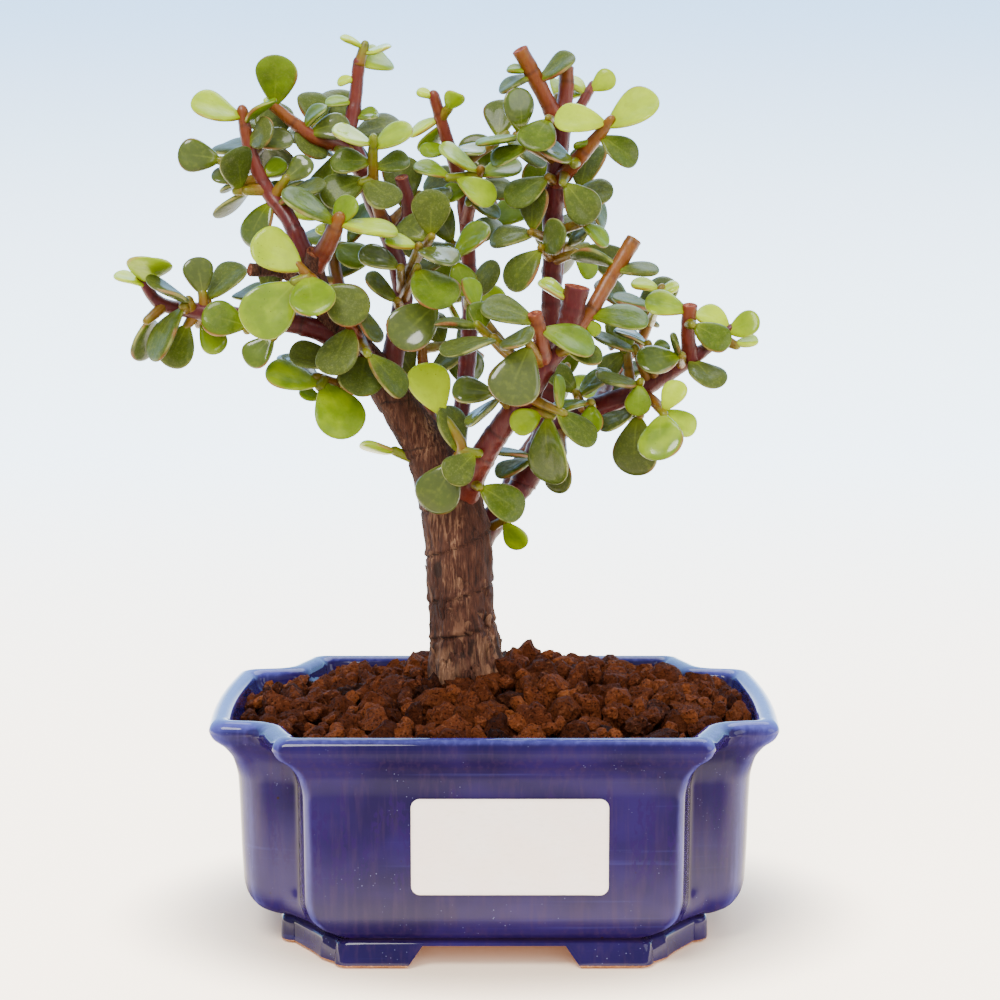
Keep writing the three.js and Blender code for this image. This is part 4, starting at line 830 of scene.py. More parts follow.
class Finish:
    """A material under construction. Its colour is built up in layers, its sizes are in millimetres."""

    def __init__(self, name, **constants):
        self.material = bpy.data.materials.new(name)
        self.material.use_nodes = True
        self.tree = self.material.node_tree
        self.shader = self.tree.nodes["Principled BSDF"]
        for key, value in constants.items():
            self.shader.inputs[key.replace("_", " ").title().replace("Ior", "IOR")].default_value = value
        self.place = self.node("ShaderNodeTexCoord", {}, {}, "Object") * (1 / MM)
        self.colour = None

    def node(self, kind, settings, inputs, output=0):
        made = self.tree.nodes.new(kind)
        for key, value in settings.items():
            if key == "stops":
                ramp = made.color_ramp
                while len(ramp.elements) < len(value):
                    ramp.elements.new(0.5)
                for element, (position, colour) in zip(ramp.elements, value):
                    element.position = position
                    element.color = (*colour, 1)
            else:
                setattr(made, key, value)
        for key, value in inputs.items():
            if isinstance(value, Wire):
                self.tree.links.new(value.socket, made.inputs[key])
            elif made.inputs[key].type == "RGBA":
                made.inputs[key].default_value = (*value, 1)
            elif made.inputs[key].type == "VECTOR" and not isinstance(value, tuple):
                made.inputs[key].default_value = (value,) * 3
            else:
                made.inputs[key].default_value = value
        return Wire(self, made.outputs[output])

    def blend(self, kind, factor, first, second):
        """Mixes two colours."""
        settings = {"data_type": "RGBA", "blend_type": kind}
        return self.node("ShaderNodeMix", settings, {0: factor, 6: first, 7: second}, 2)

    def lay(self, mask, colour, kind="MIX"):
        """Lays a colour over the one so far, where the mask is 1."""
        self.colour = self.blend(kind, mask, self.colour, colour)

    def layers(self, *names):
        """The numbers that the points of the piece carry under these names."""
        return [self.node("ShaderNodeAttribute", {"attribute_name": name}, {}, "Fac") for name in names]

    def noise(self, size, detail=3.0, stretch=(1.0, 1.0, 1.0), warp=0.0, shift=0.0):
        """Smooth noise of about one size, stretched along some axes."""
        place = self.place * tuple(1 / (size * s) for s in stretch) + (shift, shift * 1.7, shift * 0.6)
        inputs = {"Vector": place, "Scale": 1.0, "Detail": detail, "Distortion": warp}
        return self.node("ShaderNodeTexNoise", {}, inputs, "Fac")

    def cells(self, size, shift=0.0):
        """How far each place lies from the middle of its cell."""
        place = self.place / size + (shift, shift, shift)
        return self.node("ShaderNodeTexVoronoi", {}, {"Vector": place, "Scale": 1.0}, "Distance")

    def ramp(self, factor, *stops):
        return self.node("ShaderNodeValToRGB", {"stops": stops}, {0: factor}, "Color")

    def height(self, *parts):
        """Joins (heights, depth) to one normal."""
        normal = None
        for height, depth in parts:
            inputs = {"Height": height, "Distance": depth * MM, "Strength": 1.0}
            if normal:
                inputs["Normal"] = normal
            normal = self.node("ShaderNodeBump", {}, inputs)
        return normal

    def done(self, **varying):
        for key, wire in varying.items():
            self.tree.links.new(wire.socket, self.shader.inputs[key.replace("_", " ").title()])
        return self.material


# ---------------------------------------------------------------- finishes
def glaze_finish(settings):
    f = Finish("blue glaze", coat_roughness=0.03, coat_ior=1.35, specular_ior_level=0.0)
    edge, crease, bare, drops = f.layers("edge", "crease", "bare", "drops")
    cloud = f.noise(17, 3, (1.3, 1.3, 1), 0.4).between(0.32, 0.7)
    grain = f.noise(0.9, 3, (1, 1, 2.2), 0.3, 3)
    streaks = f.noise(1.3, 3, (1, 1, 10), 0.25, 9).between(0.44, 0.74)
    turning = f.noise(1.5, 2, (40, 40, 1), 0.3, 4).between(0.6, 0.78)
    f.colour = f.blend("MIX", cloud, settings.deep, settings.body)
    f.lay(streaks * 0.34, settings.violet)
    f.lay(turning * 0.1, settings.pale)
    patch = (f.noise(7, 2, (0.45, 0.45, 2.2), shift=6) + drops * 0.2).between(0.68, 0.74)
    patch = patch * grain.between(0.46, 0.54)
    f.lay(patch * 0.75, srgb(30, 8, 66))
    # Paler glaze along the edges: thin glaze, partly a painted reflection on the ears' curves, and a painted
    # highlight along the rim's top.
    f.lay((edge * (0.7 + streaks * 0.25 + grain * 0.3)).between(0.15, 0.95) * 0.72, settings.pale)
    f.lay(crease.between(0.1, 0.9) * 0.85, settings.line)
    pits = f.cells(5.5, 2).between(0.075, 0.035) * f.noise(16, 1, shift=4).between(0.5, 0.62)
    f.lay(pits * edge.between(0.2, 0.05), srgb(34, 20, 18))
    specks = f.cells(1.1, 7).between(0.13, 0.06) * f.noise(7, 2, shift=2).between(0.52, 0.68)
    f.lay(specks * 0.5, srgb(130, 134, 178))
    crumbs = f.noise(0.5, 2, shift=5) * 0.6 + f.noise(3, 3, shift=8) * 0.4
    clay = f.ramp(crumbs, (0.3, srgb(104, 66, 42)), (0.5, srgb(158, 108, 72)), (0.7, srgb(190, 148, 108)))
    clayey = (bare + (grain - 0.5) * 0.35).between(0.4, 0.6)
    f.lay(clayey, clay)
    relief = f.height((f.noise(7, 2, shift=1), 0.22), (f.noise(1.6, 1, shift=6), 0.025))
    # The floor in front shows too clearly where the glaze faces down, so it is duller there.
    upward = f.node("ShaderNodeSeparateXYZ", {}, {0: f.node("ShaderNodeNewGeometry", {}, {}, "Normal")}, "Z")
    shine = (1.0 - clayey) * (1.0 - upward.between(-0.04, -0.4) * 0.8)
    return f.done(base_color=f.colour, roughness=0.2 + clayey * 0.65, normal=relief, coat_weight=shine)


def mesh_finish():
    f = Finish("drain mesh plastic", specular_ior_level=0.4)
    worn = f.noise(1.2, 4)
    f.colour = f.blend("MIX", worn.between(0.35, 0.7), srgb(24, 30, 26), srgb(48, 56, 48))
    return f.done(base_color=f.colour, roughness=0.4 + worn * 0.3, normal=f.height((worn, 0.05)))


def paper_finish():
    f = Finish("blank paper label", coat_weight=0.15, coat_roughness=0.35)
    edge, = f.layers("edge")
    fibres = f.noise(0.7, 5, (3, 1, 1))
    f.colour = f.blend("MIX", f.noise(9, 3).between(0.35, 0.7), srgb(255, 240, 231), srgb(255, 245, 238))
    f.lay(fibres.between(0.5, 0.75) * 0.3, srgb(232, 222, 208))
    f.lay(edge * 0.4, srgb(205, 196, 186))
    return f.done(base_color=f.colour, roughness=0.5 + fibres * 0.12, normal=f.height((fibres, 0.02)))


def clay_finish(settings):
    f = Finish("fired clay granules", specular_ior_level=0.06)
    tone, low = f.layers("tone", "low")
    patch = f.noise(1.9, 5, warp=0.5)
    crumbs = f.noise(0.55, 5, shift=5)
    dust = f.noise(0.9, 5, shift=7).between(0.55, 0.72)
    holes = f.cells(0.9, 9).between(0.3, 0.1) * f.noise(3, 2, shift=4).between(0.46, 0.6)
    f.colour = f.ramp(
        tone + (patch - 0.5) * 0.5 + (crumbs - 0.5) * 0.3,
        (0.05, settings.dark), (0.38, settings.middle), (0.7, settings.warm), (1.0, settings.pale),
    )
    # Painted shade: the pits and the low parts of the crumbly surface are darkened.
    f.lay(holes.larger(crumbs.between(0.44, 0.3)) * 0.8, srgb(92, 66, 54), "MULTIPLY")
    f.lay(dust * 0.22, srgb(176, 112, 76))
    # Painted shade: granules that lie deep in the heap, and the packed bed below, are darkened by their low number.
    f.lay(low, srgb(78, 54, 44), "MULTIPLY")
    relief = f.height((patch, 1.1), (crumbs - holes * 0.7, 0.8), (f.noise(0.22, 2, shift=1), 0.16))
    return f.done(base_color=f.colour, roughness=0.84 + dust * 0.12, normal=relief)


def bark_finish(settings):
    f = Finish("bark", specular_ior_level=0.25)
    crack, flake, cut, base = f.layers("crack", "flake", "cut", "base")
    fibre = f.noise(0.38, 5, (1, 1, 9), 0.5)
    strand = f.noise(1.3, 4, (1, 1, 4.5), 0.8, 4)
    patch = f.noise(6, 3, (1, 1, 1.6), shift=7)
    f.colour = f.ramp(
        fibre * 0.5 + strand * 0.35 + patch * 0.15,
        (0.38, settings.dark), (0.47, settings.bark), (0.55, srgb(76, 45, 32)), (0.68, settings.fibre),
    )
    dry = (patch + strand * 0.5).between(0.76, 0.98)
    f.lay(dry * fibre.between(0.44, 0.6) * 0.6, srgb(150, 112, 84))
    f.lay((flake * (0.5 + strand)).between(0.5, 1.0) * 0.5, srgb(136, 96, 70))
    f.lay((base * patch * strand * 3.0).between(0.5, 0.9) * 0.25, srgb(150, 112, 82))
    # Dark ring scars and crevices, with painted shade where the hollow is.
    f.lay(crack.between(0.3, 0.95) * 0.85, srgb(34, 20, 15))
    rings = f.noise(0.9, 4, shift=2)
    wood = f.ramp(rings, (0.3, srgb(64, 28, 18)), (0.52, srgb(118, 62, 38)), (0.75, srgb(160, 108, 72)))
    f.lay(cut.between(0.3, 0.7), wood)
    relief = f.height((strand, 0.8), (fibre, 0.55), (f.noise(0.25, 3, (1, 1, 3), shift=3), 0.16))
    return f.done(base_color=f.colour, roughness=0.74 + fibre * 0.2, normal=relief)


def stem_finish(settings):
    f = Finish("stem skin", coat_roughness=0.3, specular_ior_level=0.22)
    youth, cut, ring = f.layers("youth", "cut", "ring")
    streak = f.noise(0.6, 4, (1, 1, 5), 0.4)
    f.colour = f.ramp(
        youth + (f.noise(4, 3, shift=3) - 0.5) * 0.2 + (streak - 0.5) * 0.14,
        (0.0, settings.bark), (0.2, srgb(72, 28, 22)), (0.36, settings.wine), (0.52, srgb(100, 38, 20)),
        (0.66, settings.orange), (0.82, srgb(112, 84, 14)), (0.94, settings.green),
    )
    f.lay(streak.between(0.55, 0.78) * 0.14, srgb(150, 100, 60))
    f.lay(ring * 0.55, srgb(100, 64, 50), "MULTIPLY")
    specks = f.cells(0.9, 2).between(0.2, 0.1) * f.noise(3, 2, shift=8).between(0.5, 0.6)
    f.lay(specks * 0.6, srgb(48, 28, 22))
    rings = f.noise(0.7, 4, shift=6)
    wood = f.ramp(rings, (0.3, srgb(70, 28, 18)), (0.55, srgb(128, 60, 34)), (0.75, srgb(170, 112, 70)))
    f.lay(cut.between(0.3, 0.7), wood)
    rough = 0.52 - youth * 0.14 + cut * 0.34
    shine = 0.36 * youth.between(0.15, 0.4) * (1.0 - cut)
    relief = f.height((streak, 0.16), (f.noise(1.3, 3, shift=5), 0.14))
    return f.done(base_color=f.colour, roughness=rough, normal=relief, coat_weight=shine)


def leaf_finish(settings):
    f = Finish("jade leaf", specular_ior_level=0.13, coat_roughness=0.12)
    age, tone, along, across, side, wet = f.layers("age", "tone", "along", "across", "side", "wet")
    cloud = f.noise(4.5, 3, shift=2)
    grain = f.noise(1.1, 4, shift=5)
    mature = (age + (cloud - 0.5) * 0.36 + (tone - 0.5) * 0.34).between(0.0, 1.0)
    f.colour = f.ramp(
        mature, (0.0, settings.fresh), (0.35, settings.green), (0.7, settings.mature), (1.0, settings.grey)
    )
    f.lay((1.0 - along).between(0.62, 1.0) * 0.4, srgb(130, 144, 8))
    f.lay(grain.between(0.45, 0.75) * 0.2, srgb(122, 134, 36))
    f.lay(across.between(0.1, 0.0) * along.between(0.85, 0.2) * 0.16, srgb(158, 174, 60))
    # Painted shade: the undersides of the leaves are drawn darker and greener.
    f.lay(side.between(0.15, -0.4) * 0.5, srgb(160, 190, 110), "MULTIPLY")
    # Pale margins: partly the leaf's own pale edge, partly a painted highlight along the rims.
    pale_rim_and_highlight = across.between(0.93, 1.0) * f.noise(6, 2, shift=13).between(0.4, 0.6)
    f.lay(pale_rim_and_highlight * 0.42, srgb(190, 190, 112))
    blush = across.between(0.88, 1.0) * f.noise(9, 2, shift=11).between(0.5, 0.64)
    f.lay(blush * 0.6, srgb(138, 48, 36))
    bloom = f.noise(0.34, 2, shift=8).between(0.5, 0.7) * mature * (1.0 - wet)
    f.lay(bloom * 0.2, srgb(134, 142, 84))
    specks = f.cells(1.3, 4).between(0.12, 0.06) * f.noise(5, 1, shift=9).between(0.5, 0.62)
    f.lay(specks * 0.7, srgb(46, 40, 14))
    relief = f.height((f.noise(3.2, 2, shift=7), 0.35), (f.noise(1.1, 1, shift=6), 0.05))
    rough = 0.36 + grain * 0.14 + mature * 0.08
    return f.done(base_color=f.colour, roughness=rough, normal=relief, coat_weight=wet * 0.9)


# ---------------------------------------------------------------- the pot
LIP = 2.4
RIM_FROM = 47.5
# How far the inner wall lies in from the outside, by height.
INNER_WALL = ((FLOOR_TOP, 5.2), (36, 3.6), (43.6, 4.6), (RIM_FROM, 2 * LIP))
# Notches between the feet: half widths at the top and at the foot, half length, and whether it runs left to right.
FOOT_GAPS = ((15, 19, 62, False), (7, 10, 75, True))


def foot_gap(top, foot, reach, turned):
    """A trapezium prism that parts two feet."""
    section = [(-foot, -1), (foot, -1), (top, FOOT_HEIGHT), (-top, FOOT_HEIGHT)]
    places = [(x, y, z) for y in (-reach, reach) for x, z in section]
    if turned:
        places = [(-y, x, z) for x, y, z in places]
    faces = [(0, 1, 2, 3), (7, 6, 5, 4)] + [(i, i + 4, (i + 1) % 4 + 4, (i + 1) % 4) for i in range(4)]
    return places, faces


def round_bar(x, radius, low, high, sides=48):
    angles = np.arange(sides) / sides * 2 * np.pi
    ring = np.stack([x + radius * np.cos(angles), radius * np.sin(angles)], axis=1)
    return loft([np.column_stack([ring, np.full(sides, z)]) for z in (low, high)])


def outward_faces(thing):
    work = bmesh.new()
    work.from_mesh(thing.data)
    bmesh.ops.recalc_face_normals(work, faces=work.faces[:])
    work.to_mesh(thing.data)
    work.free()


def make_pot(settings):
    heights = np.unique(np.concatenate([
        np.linspace(0.9, 8.2, 16), np.linspace(8.2, 14.5, 9), np.linspace(14.5, 36, 12),
        np.linspace(36, RIM_FROM, 22),
    ]))
    rings = [ring_at(0, 0.9, 0), ring_at(0, 0.45, 0.1), ring_at(0, 0.12, 0.4)]
    rings += [ring_at(z, 0) for z in heights]
    for angle in np.radians(np.arange(12, 180, 12)):
        rings.append(ring_at(RIM_FROM, LIP - LIP * math.cos(angle), RIM_FROM + LIP * math.sin(angle)))
    walls = np.array(INNER_WALL)
    for z in np.linspace(RIM_FROM, FLOOR_TOP + 1.5, 26):
        rings.append(ring_at(z, np.interp(z, walls[:, 0], walls[:, 1])))
    rings.append(ring_at(FLOOR_TOP, 6.2, FLOOR_TOP + 0.4))
    rings.append(ring_at(FLOOR_TOP, 7.4, FLOOR_TOP))
    pot = new_object("pot_glazed", *loft(rings), None)
    outward_faces(pot)
    for gap in FOOT_GAPS:
        cut(pot, *foot_gap(*gap))
    cut(pot, *loft([ring_at(0, 6, -1), ring_at(0, 6, FOOT_HEIGHT - 0.8), ring_at(0, 6.8, FOOT_HEIGHT)]))
    for x in (-DRAIN_X, DRAIN_X):
        cut(pot, *round_bar(x, DRAIN_RADIUS, 1, FLOOR_TOP + 2))
    places = places_of(pot)
    x, y, z = np.abs(places[:, 0]), np.abs(places[:, 1]), places[:, 2]
    sizes = np.array([level_at(height) for height in z])
    panel, depth, ear, arm, notch_x, notch_y, rounding, _ = sizes.T
    # Paler glaze where it runs thin over the panel's corners and round the ears, partly a painted reflection of the
    # bright room on the ears' curves; along the rim's top it is a painted highlight.
    corner = np.hypot(x - (panel - 0.8), y - (depth - 0.8))
    lobe = np.hypot(x - (ear - rounding * 0.36), y - (arm - rounding * 0.3))
    above = smoothstep(7, 9, z)
    # Painted highlight: the rim's top is drawn paler blue along its whole length.
    pale_rim_and_highlight = 0.62 * bell(z - 49.6, 0.9)
    edge = above * (0.62 * bell(corner, 1.5) + 0.5 * bell(lobe, 3.4)) + pale_rim_and_highlight
    edge += 0.3 * smoothstep(43, 46, z) * smoothstep(notch_x - 1, notch_x + 3, x) * (y < arm + 1)
    crease = bell(np.hypot(x - notch_x, y - notch_y), 0.7) * smoothstep(9, 12, z) * smoothstep(47, 44, z)
    crease = np.maximum(crease, 0.8 * bell(z - 5.7, 0.5))
    crease = np.maximum(crease, 0.55 * bell(z - 43.4, 0.35) * (y > arm))
    under = smoothstep(0.8, 0.25, z)
    inside = (x < panel - 1) & (y < depth - 1) & (z < FOOT_HEIGHT + 0.2) & (z > 0.3)
    hollow = inside & (np.minimum(depth - y, ear - x) > 4)
    drops = smoothstep(14, 20, z) * smoothstep(42, 34, z)
    bare = np.maximum(under, hollow * 0.9)
    give(pot, edge=np.clip(edge, 0, 1), crease=np.clip(crease, 0, 1), bare=bare, drops=drops)
    pot.data.set_sharp_from_angle(angle=math.radians(38))
    pot.data.materials.append(glaze_finish(settings))
    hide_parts("pot")
    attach(pot, "root")


def rounded_slab(width, height, corner, levels, middle):
    """A thin sheet with rounded corners, standing across y: (depth, inset) for each ring from back to front."""
    rings = []
    for depth, inset in levels:
        w, h, r = width / 2 - inset, height / 2 - inset, max(0.2, corner - inset)
        ring = np.concatenate([
            np.vstack([arc((sx * (w - r), sz * (h - r)), r, start, start + 90, 8), line(*side, 12)])
            for sx, sz, start, side in (
                (1, 1, 0, ((w - r, h), (-w + r, h))), (-1, 1, 90, ((-w, h - r), (-w, -h + r))),
                (-1, -1, 180, ((-w + r, -h), (w - r, -h))), (1, -1, 270, ((w, -h + r), (w, h - r))),
            )
        ])
        rings.append(np.column_stack([middle[0] + ring[:, 0], np.full(len(ring), depth), middle[1] + ring[:, 1]]))
    return loft(rings)


LABEL = {"width": 41, "height": 20.5, "corner": 1.9, "x": 3.3, "z": 26.5}


def make_label():
    panel = -level_at(LABEL["z"])[1]
    levels = [(panel - 0.02, 0.3), (panel - 0.3, 0), (panel - 0.34, 0.04)]
    levels += [(panel - 0.36, inset) for inset in (0.3, 0.8, 2, 4, 6, 8)]
    slab = rounded_slab(LABEL["width"], LABEL["height"], LABEL["corner"], levels, (LABEL["x"], LABEL["z"]))
    label = new_object("label_blank", *slab, paper_finish())
    places = places_of(label)
    dx = np.abs(places[:, 0] - LABEL["x"]) / (LABEL["width"] / 2)
    dz = np.abs(places[:, 2] - LABEL["z"]) / (LABEL["height"] / 2)
    right = smoothstep(0.75, 1.05, (places[:, 0] - LABEL["x"]) / 20.5)
    low = smoothstep(0.4, 1.05, (LABEL["z"] - places[:, 2]) / 10.2)
    lift = right * low + noise_at(places, 12, 4) * 0.05
    places[:, 1] -= np.maximum(0, lift) * 0.35
    set_places(label, places)
    outward_faces(label)
    give(label, edge=np.maximum(smoothstep(0.965, 1.0, dx), smoothstep(0.93, 1.0, dz)))
    label.data.set_sharp_from_angle(angle=math.radians(40))
    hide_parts("label")
    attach(label, "root")


def dress_meshes():
    finish = mesh_finish()
    for side in ("left", "right"):
        plate = bpy.data.objects["drain_mesh_" + side]
        plate.data.materials.clear()
        plate.data.materials.append(finish)


# ---------------------------------------------------------------- the soil
MOUND = {"base": 46, "rise": 10.4, "x": 4, "y": 2, "spread_x": 38, "spread_y": 27}


def mound_at(x, y):
    dx, dy = (x - MOUND["x"]) / MOUND["spread_x"], (y - MOUND["y"]) / MOUND["spread_y"]
    return MOUND["base"] + MOUND["rise"] * np.exp(-dx * dx - dy * dy)


def room_inside(x, y, z, walls):
    """How far a place lies inside the pot's inner wall at its own height, in millimetres."""
    z = round(min(z, RIM_FROM) * 2) / 2
    if z not in walls:
        inset = np.interp(z, *np.array(INNER_WALL).T)
        walls[z] = level_at(z)[:4] - inset, ring_at(z, inset)[:, :2]
    (panel, depth, ear, arm), ring = walls[z]
    square = max(min(panel - abs(x), depth - abs(y)), min(ear - abs(x), arm - abs(y)))
    return min(square, np.hypot(*(ring - (x, y)).T).min())


def ball(subdivisions):
    work = bmesh.new()
    bmesh.ops.create_icosphere(work, subdivisions=subdivisions, radius=1)
    places = np.array([v.co[:] for v in work.verts])
    faces = [[v.index for v in face.verts] for face in work.faces]
    work.free()
    return places / np.linalg.norm(places, axis=1)[:, None], faces


# Throws of granules: how many tries, the smallest and the largest radius, and how high over the mound.
THROWS = ((1500, 3.3, 4.3, 0.2), (3000, 2.5, 3.3, 0.4), (5200, 1.5, 2.4, 0.6), (4200, 1.6, 2.6, -3.0))


def granule_places(settings):
    """Middles and radii: the large ones are thrown in first, then smaller ones into what room is left."""
    draw = seeded(settings.seed)
    at, radii, walls = np.zeros((0, 3)), np.zeros(0), {}
    for tries, small, large, lift in THROWS:
        for _ in range(tries):
            x, y = mix(-57, 57, draw()), mix(-41, 41, draw())
            r = mix(small, large, draw() ** 1.6) * settings.size
            tall = draw()
            z = float(mound_at(x, y)) + lift - 0.55 * r + tall * 1.6
            room = room_inside(x, y, z - 0.6 * r, walls)
            if room < r * 0.88 or math.hypot(x + 5, y) < 9.2:
                continue
            if room < r + 2.5:
                z -= 1.2
            if len(at) and (np.linalg.norm(at - (x, y, z), axis=1) < (radii + r) * 0.8).any():
                continue
            at = np.vstack([at, (x, y, z)])
            radii = np.append(radii, r)
    return at, radii


def make_granules(settings):
    at, radii = granule_places(settings)
    draw = seeded(settings.seed + 1)
    shapes = {2: ball(2), 3: ball(3)}
    finish = clay_finish(settings)
    heaps = {"soil_granules_large": Heap(), "soil_granules_small": Heap()}
    for k, (middle, radius) in enumerate(zip(at, radii)):
        large = radius > 2.55 * settings.size and middle[2] > mound_at(middle[0], middle[1]) - 2.6
        unit_places, faces = shapes[3 if large else 2]
        squash = np.array([mix(0.72, 1.2, draw()) for _ in range(3)])
        turn = np.array(Vector((draw() - 0.5, draw() - 0.5, draw() - 0.5)).to_track_quat("Z", "Y").to_matrix())
        sides = np.array([
            unit([draw() - 0.5, draw() - 0.5, draw() - 0.5]) / mix(0.6, 1.0, draw()) for _ in range(11)
        ])
        facing = np.maximum(0.02, unit_places @ sides.T)
        reach = np.minimum(1.02 * (facing ** 22).sum(axis=1) ** (-1 / 22), 1.3)
        reach += noise_at(unit_places, 0.7, k) * 0.2 + noise_at(unit_places, 0.3, k + 500) * 0.16
        places = (unit_places * reach[:, None] * squash) @ turn.T * radius + middle
        tone = 0.26 + 0.34 * draw() + 0.2 * (draw() > 0.94) - 0.16 * (draw() < 0.1)
        tone -= 0.2 * math.exp(-(((middle[0] + 20) / 11) ** 2) - ((middle[1] + 4) / 9) ** 2)
        # Painted shade: the deeper a granule lies below the mound's face, the darker it is drawn.
        low = smoothstep(0.4, -3.4, middle[2] - mound_at(middle[0], middle[1])) * 0.9
        heap = heaps["soil_granules_large" if large else "soil_granules_small"]
        heap.add(places, faces, tone=tone, low=low)
    for name, heap in heaps.items():
        thing = heap.build(name, finish, smooth=False)
        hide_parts("soil")
        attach(thing, "root")
    return finish


def make_bed(finish):
    """The packed body of the soil below its loose top."""
    steps = np.linspace(0, 1, 15)[1:]
    outline = ring_at(RIM_FROM, 2 * LIP + 0.3)[:, :2]
    rings = [ring_at(FLOOR_TOP, 7, FLOOR_TOP + 1.6)]
    rings += [ring_at(z, np.interp(z, *np.array(INNER_WALL).T) + 0.4) for z in np.linspace(FLOOR_TOP + 3, 43, 12)]
    for share in steps[:-1]:
        inner = outline * (1 - share)
        rings.append(np.column_stack([inner, mound_at(inner[:, 0], inner[:, 1]) - 3.4]))
    bed = new_object("soil_bed", *loft(rings), finish)
    places = places_of(bed)
    top = places[:, 2] > 41.5
    places[:, 2] += top * noise_at(places, 3, 3) * 1.1
    set_places(bed, places)
    outward_faces(bed)
    # Painted shade: the bed is darkened as if it lay deep in the heap.
    give(bed, tone=0.25, low=0.85)
    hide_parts("soil")
    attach(bed, "root")


# ---------------------------------------------------------------- the wood
def tube(path, sides, step, cut_end=False, root_flare=0.0, relief=None):
    """Rings along a path, closed by a rounded tip or a rough cut. Gives places, faces and what lies where."""
    shares, along = path.even(step)
    ways, across, up = frames(path, shares)
    radius = path.radius(shares)
    total = along[-1]
    if root_flare:
        radius = radius * (1 + root_flare * np.exp(-along / (2.2 * radius[0])))
    middles = path.at(shares)
    cuts = np.zeros(len(shares))
    if cut_end:
        tail = ((0.12, 0.94), (0.16, 0.8), (0.02, 0.5), (-0.12, 0.25))
    else:
        tail = ((0.45, 0.86), (0.8, 0.62), (1.0, 0.32))
    last, r_last = middles[-1], radius[-1]
    for forward, share in tail:
        step_on = forward * (1 if cut_end else r_last)
        middles = np.vstack([middles, last + ways[-1] * step_on])
        radius = np.append(radius, r_last * share)
        along = np.append(along, total + max(0, step_on))
        cuts = np.append(cuts, 1.0 if cut_end else 0.0)
        ways, across, up = (np.vstack([v, v[len(shares) - 1]]) for v in (ways, across, up))
    angles = np.arange(sides) / sides * 2 * np.pi
    spokes = across[:, None] * np.cos(angles)[None, :, None] + up[:, None] * np.sin(angles)[None, :, None]
    shape = np.ones((len(radius), sides))
    if relief:
        shape = shape + relief(along, middles, spokes)
    rings = middles[:, None] + spokes * (radius[:, None] * shape)[:, :, None]
    places, faces = loft(list(rings))
    spread = lambda values: np.append(np.repeat(values, sides), [values[0], values[-1]])
    return places, faces, spread(along), spread(cuts)


STUBS = (
    "left_bough", "front_bough", "knuckle", "orange_stub", "right_stub", "mid_stub", "top_left_stub", "top_stub",
    "dark_spur",
)
TRUNK_LINE = Path([
    (-5, 0, 43, 9.8), (-5.4, 0, 51, 9.3), (-6.1, 0, 59, 8.1), (-7.4, 0, 71, 7.1), (-7.9, 0, 80, 7.35),
    (-8.9, 0, 89.5, 6.9), (-11.4, -0.4, 98, 6.1), (-14.8, -1, 105.2, 5.1), (-19.6, -2, 113, 4.4),
    (-25.4, -3, 121.7, 3.9), (-32.4, -5, 130.6, 3.4), (-37.1, -8, 138.3, 2.8), (-38.5, -11, 144.3, 2.3),
    (-37.6, -14, 148.6, 2.2),
])
# Rings that old leaf pairs left round the lower trunk: height, and how much higher the right end stands.
BARK_RINGS = ((95, 2.2), (84, 2.6), (73, 1.8), (64.5, 1.2), (106, 1.5), (116, 1), (127, 0.8))
# Swellings where boughs leave the trunk: middle and reach.
FORKS = (((-7, 1, 81), 3.4), ((-8.7, -2, 92), 3.6), ((-9.6, 1, 96), 2.6))
# Across a loose flake of bark: how far to the side, from -1 to 1, and how far out.
FLAKE_SECTION = ((-1, 0), (-0.4, 0.12), (0.4, 0.12), (1, 0), (0.4, -0.12), (-0.4, -0.12))


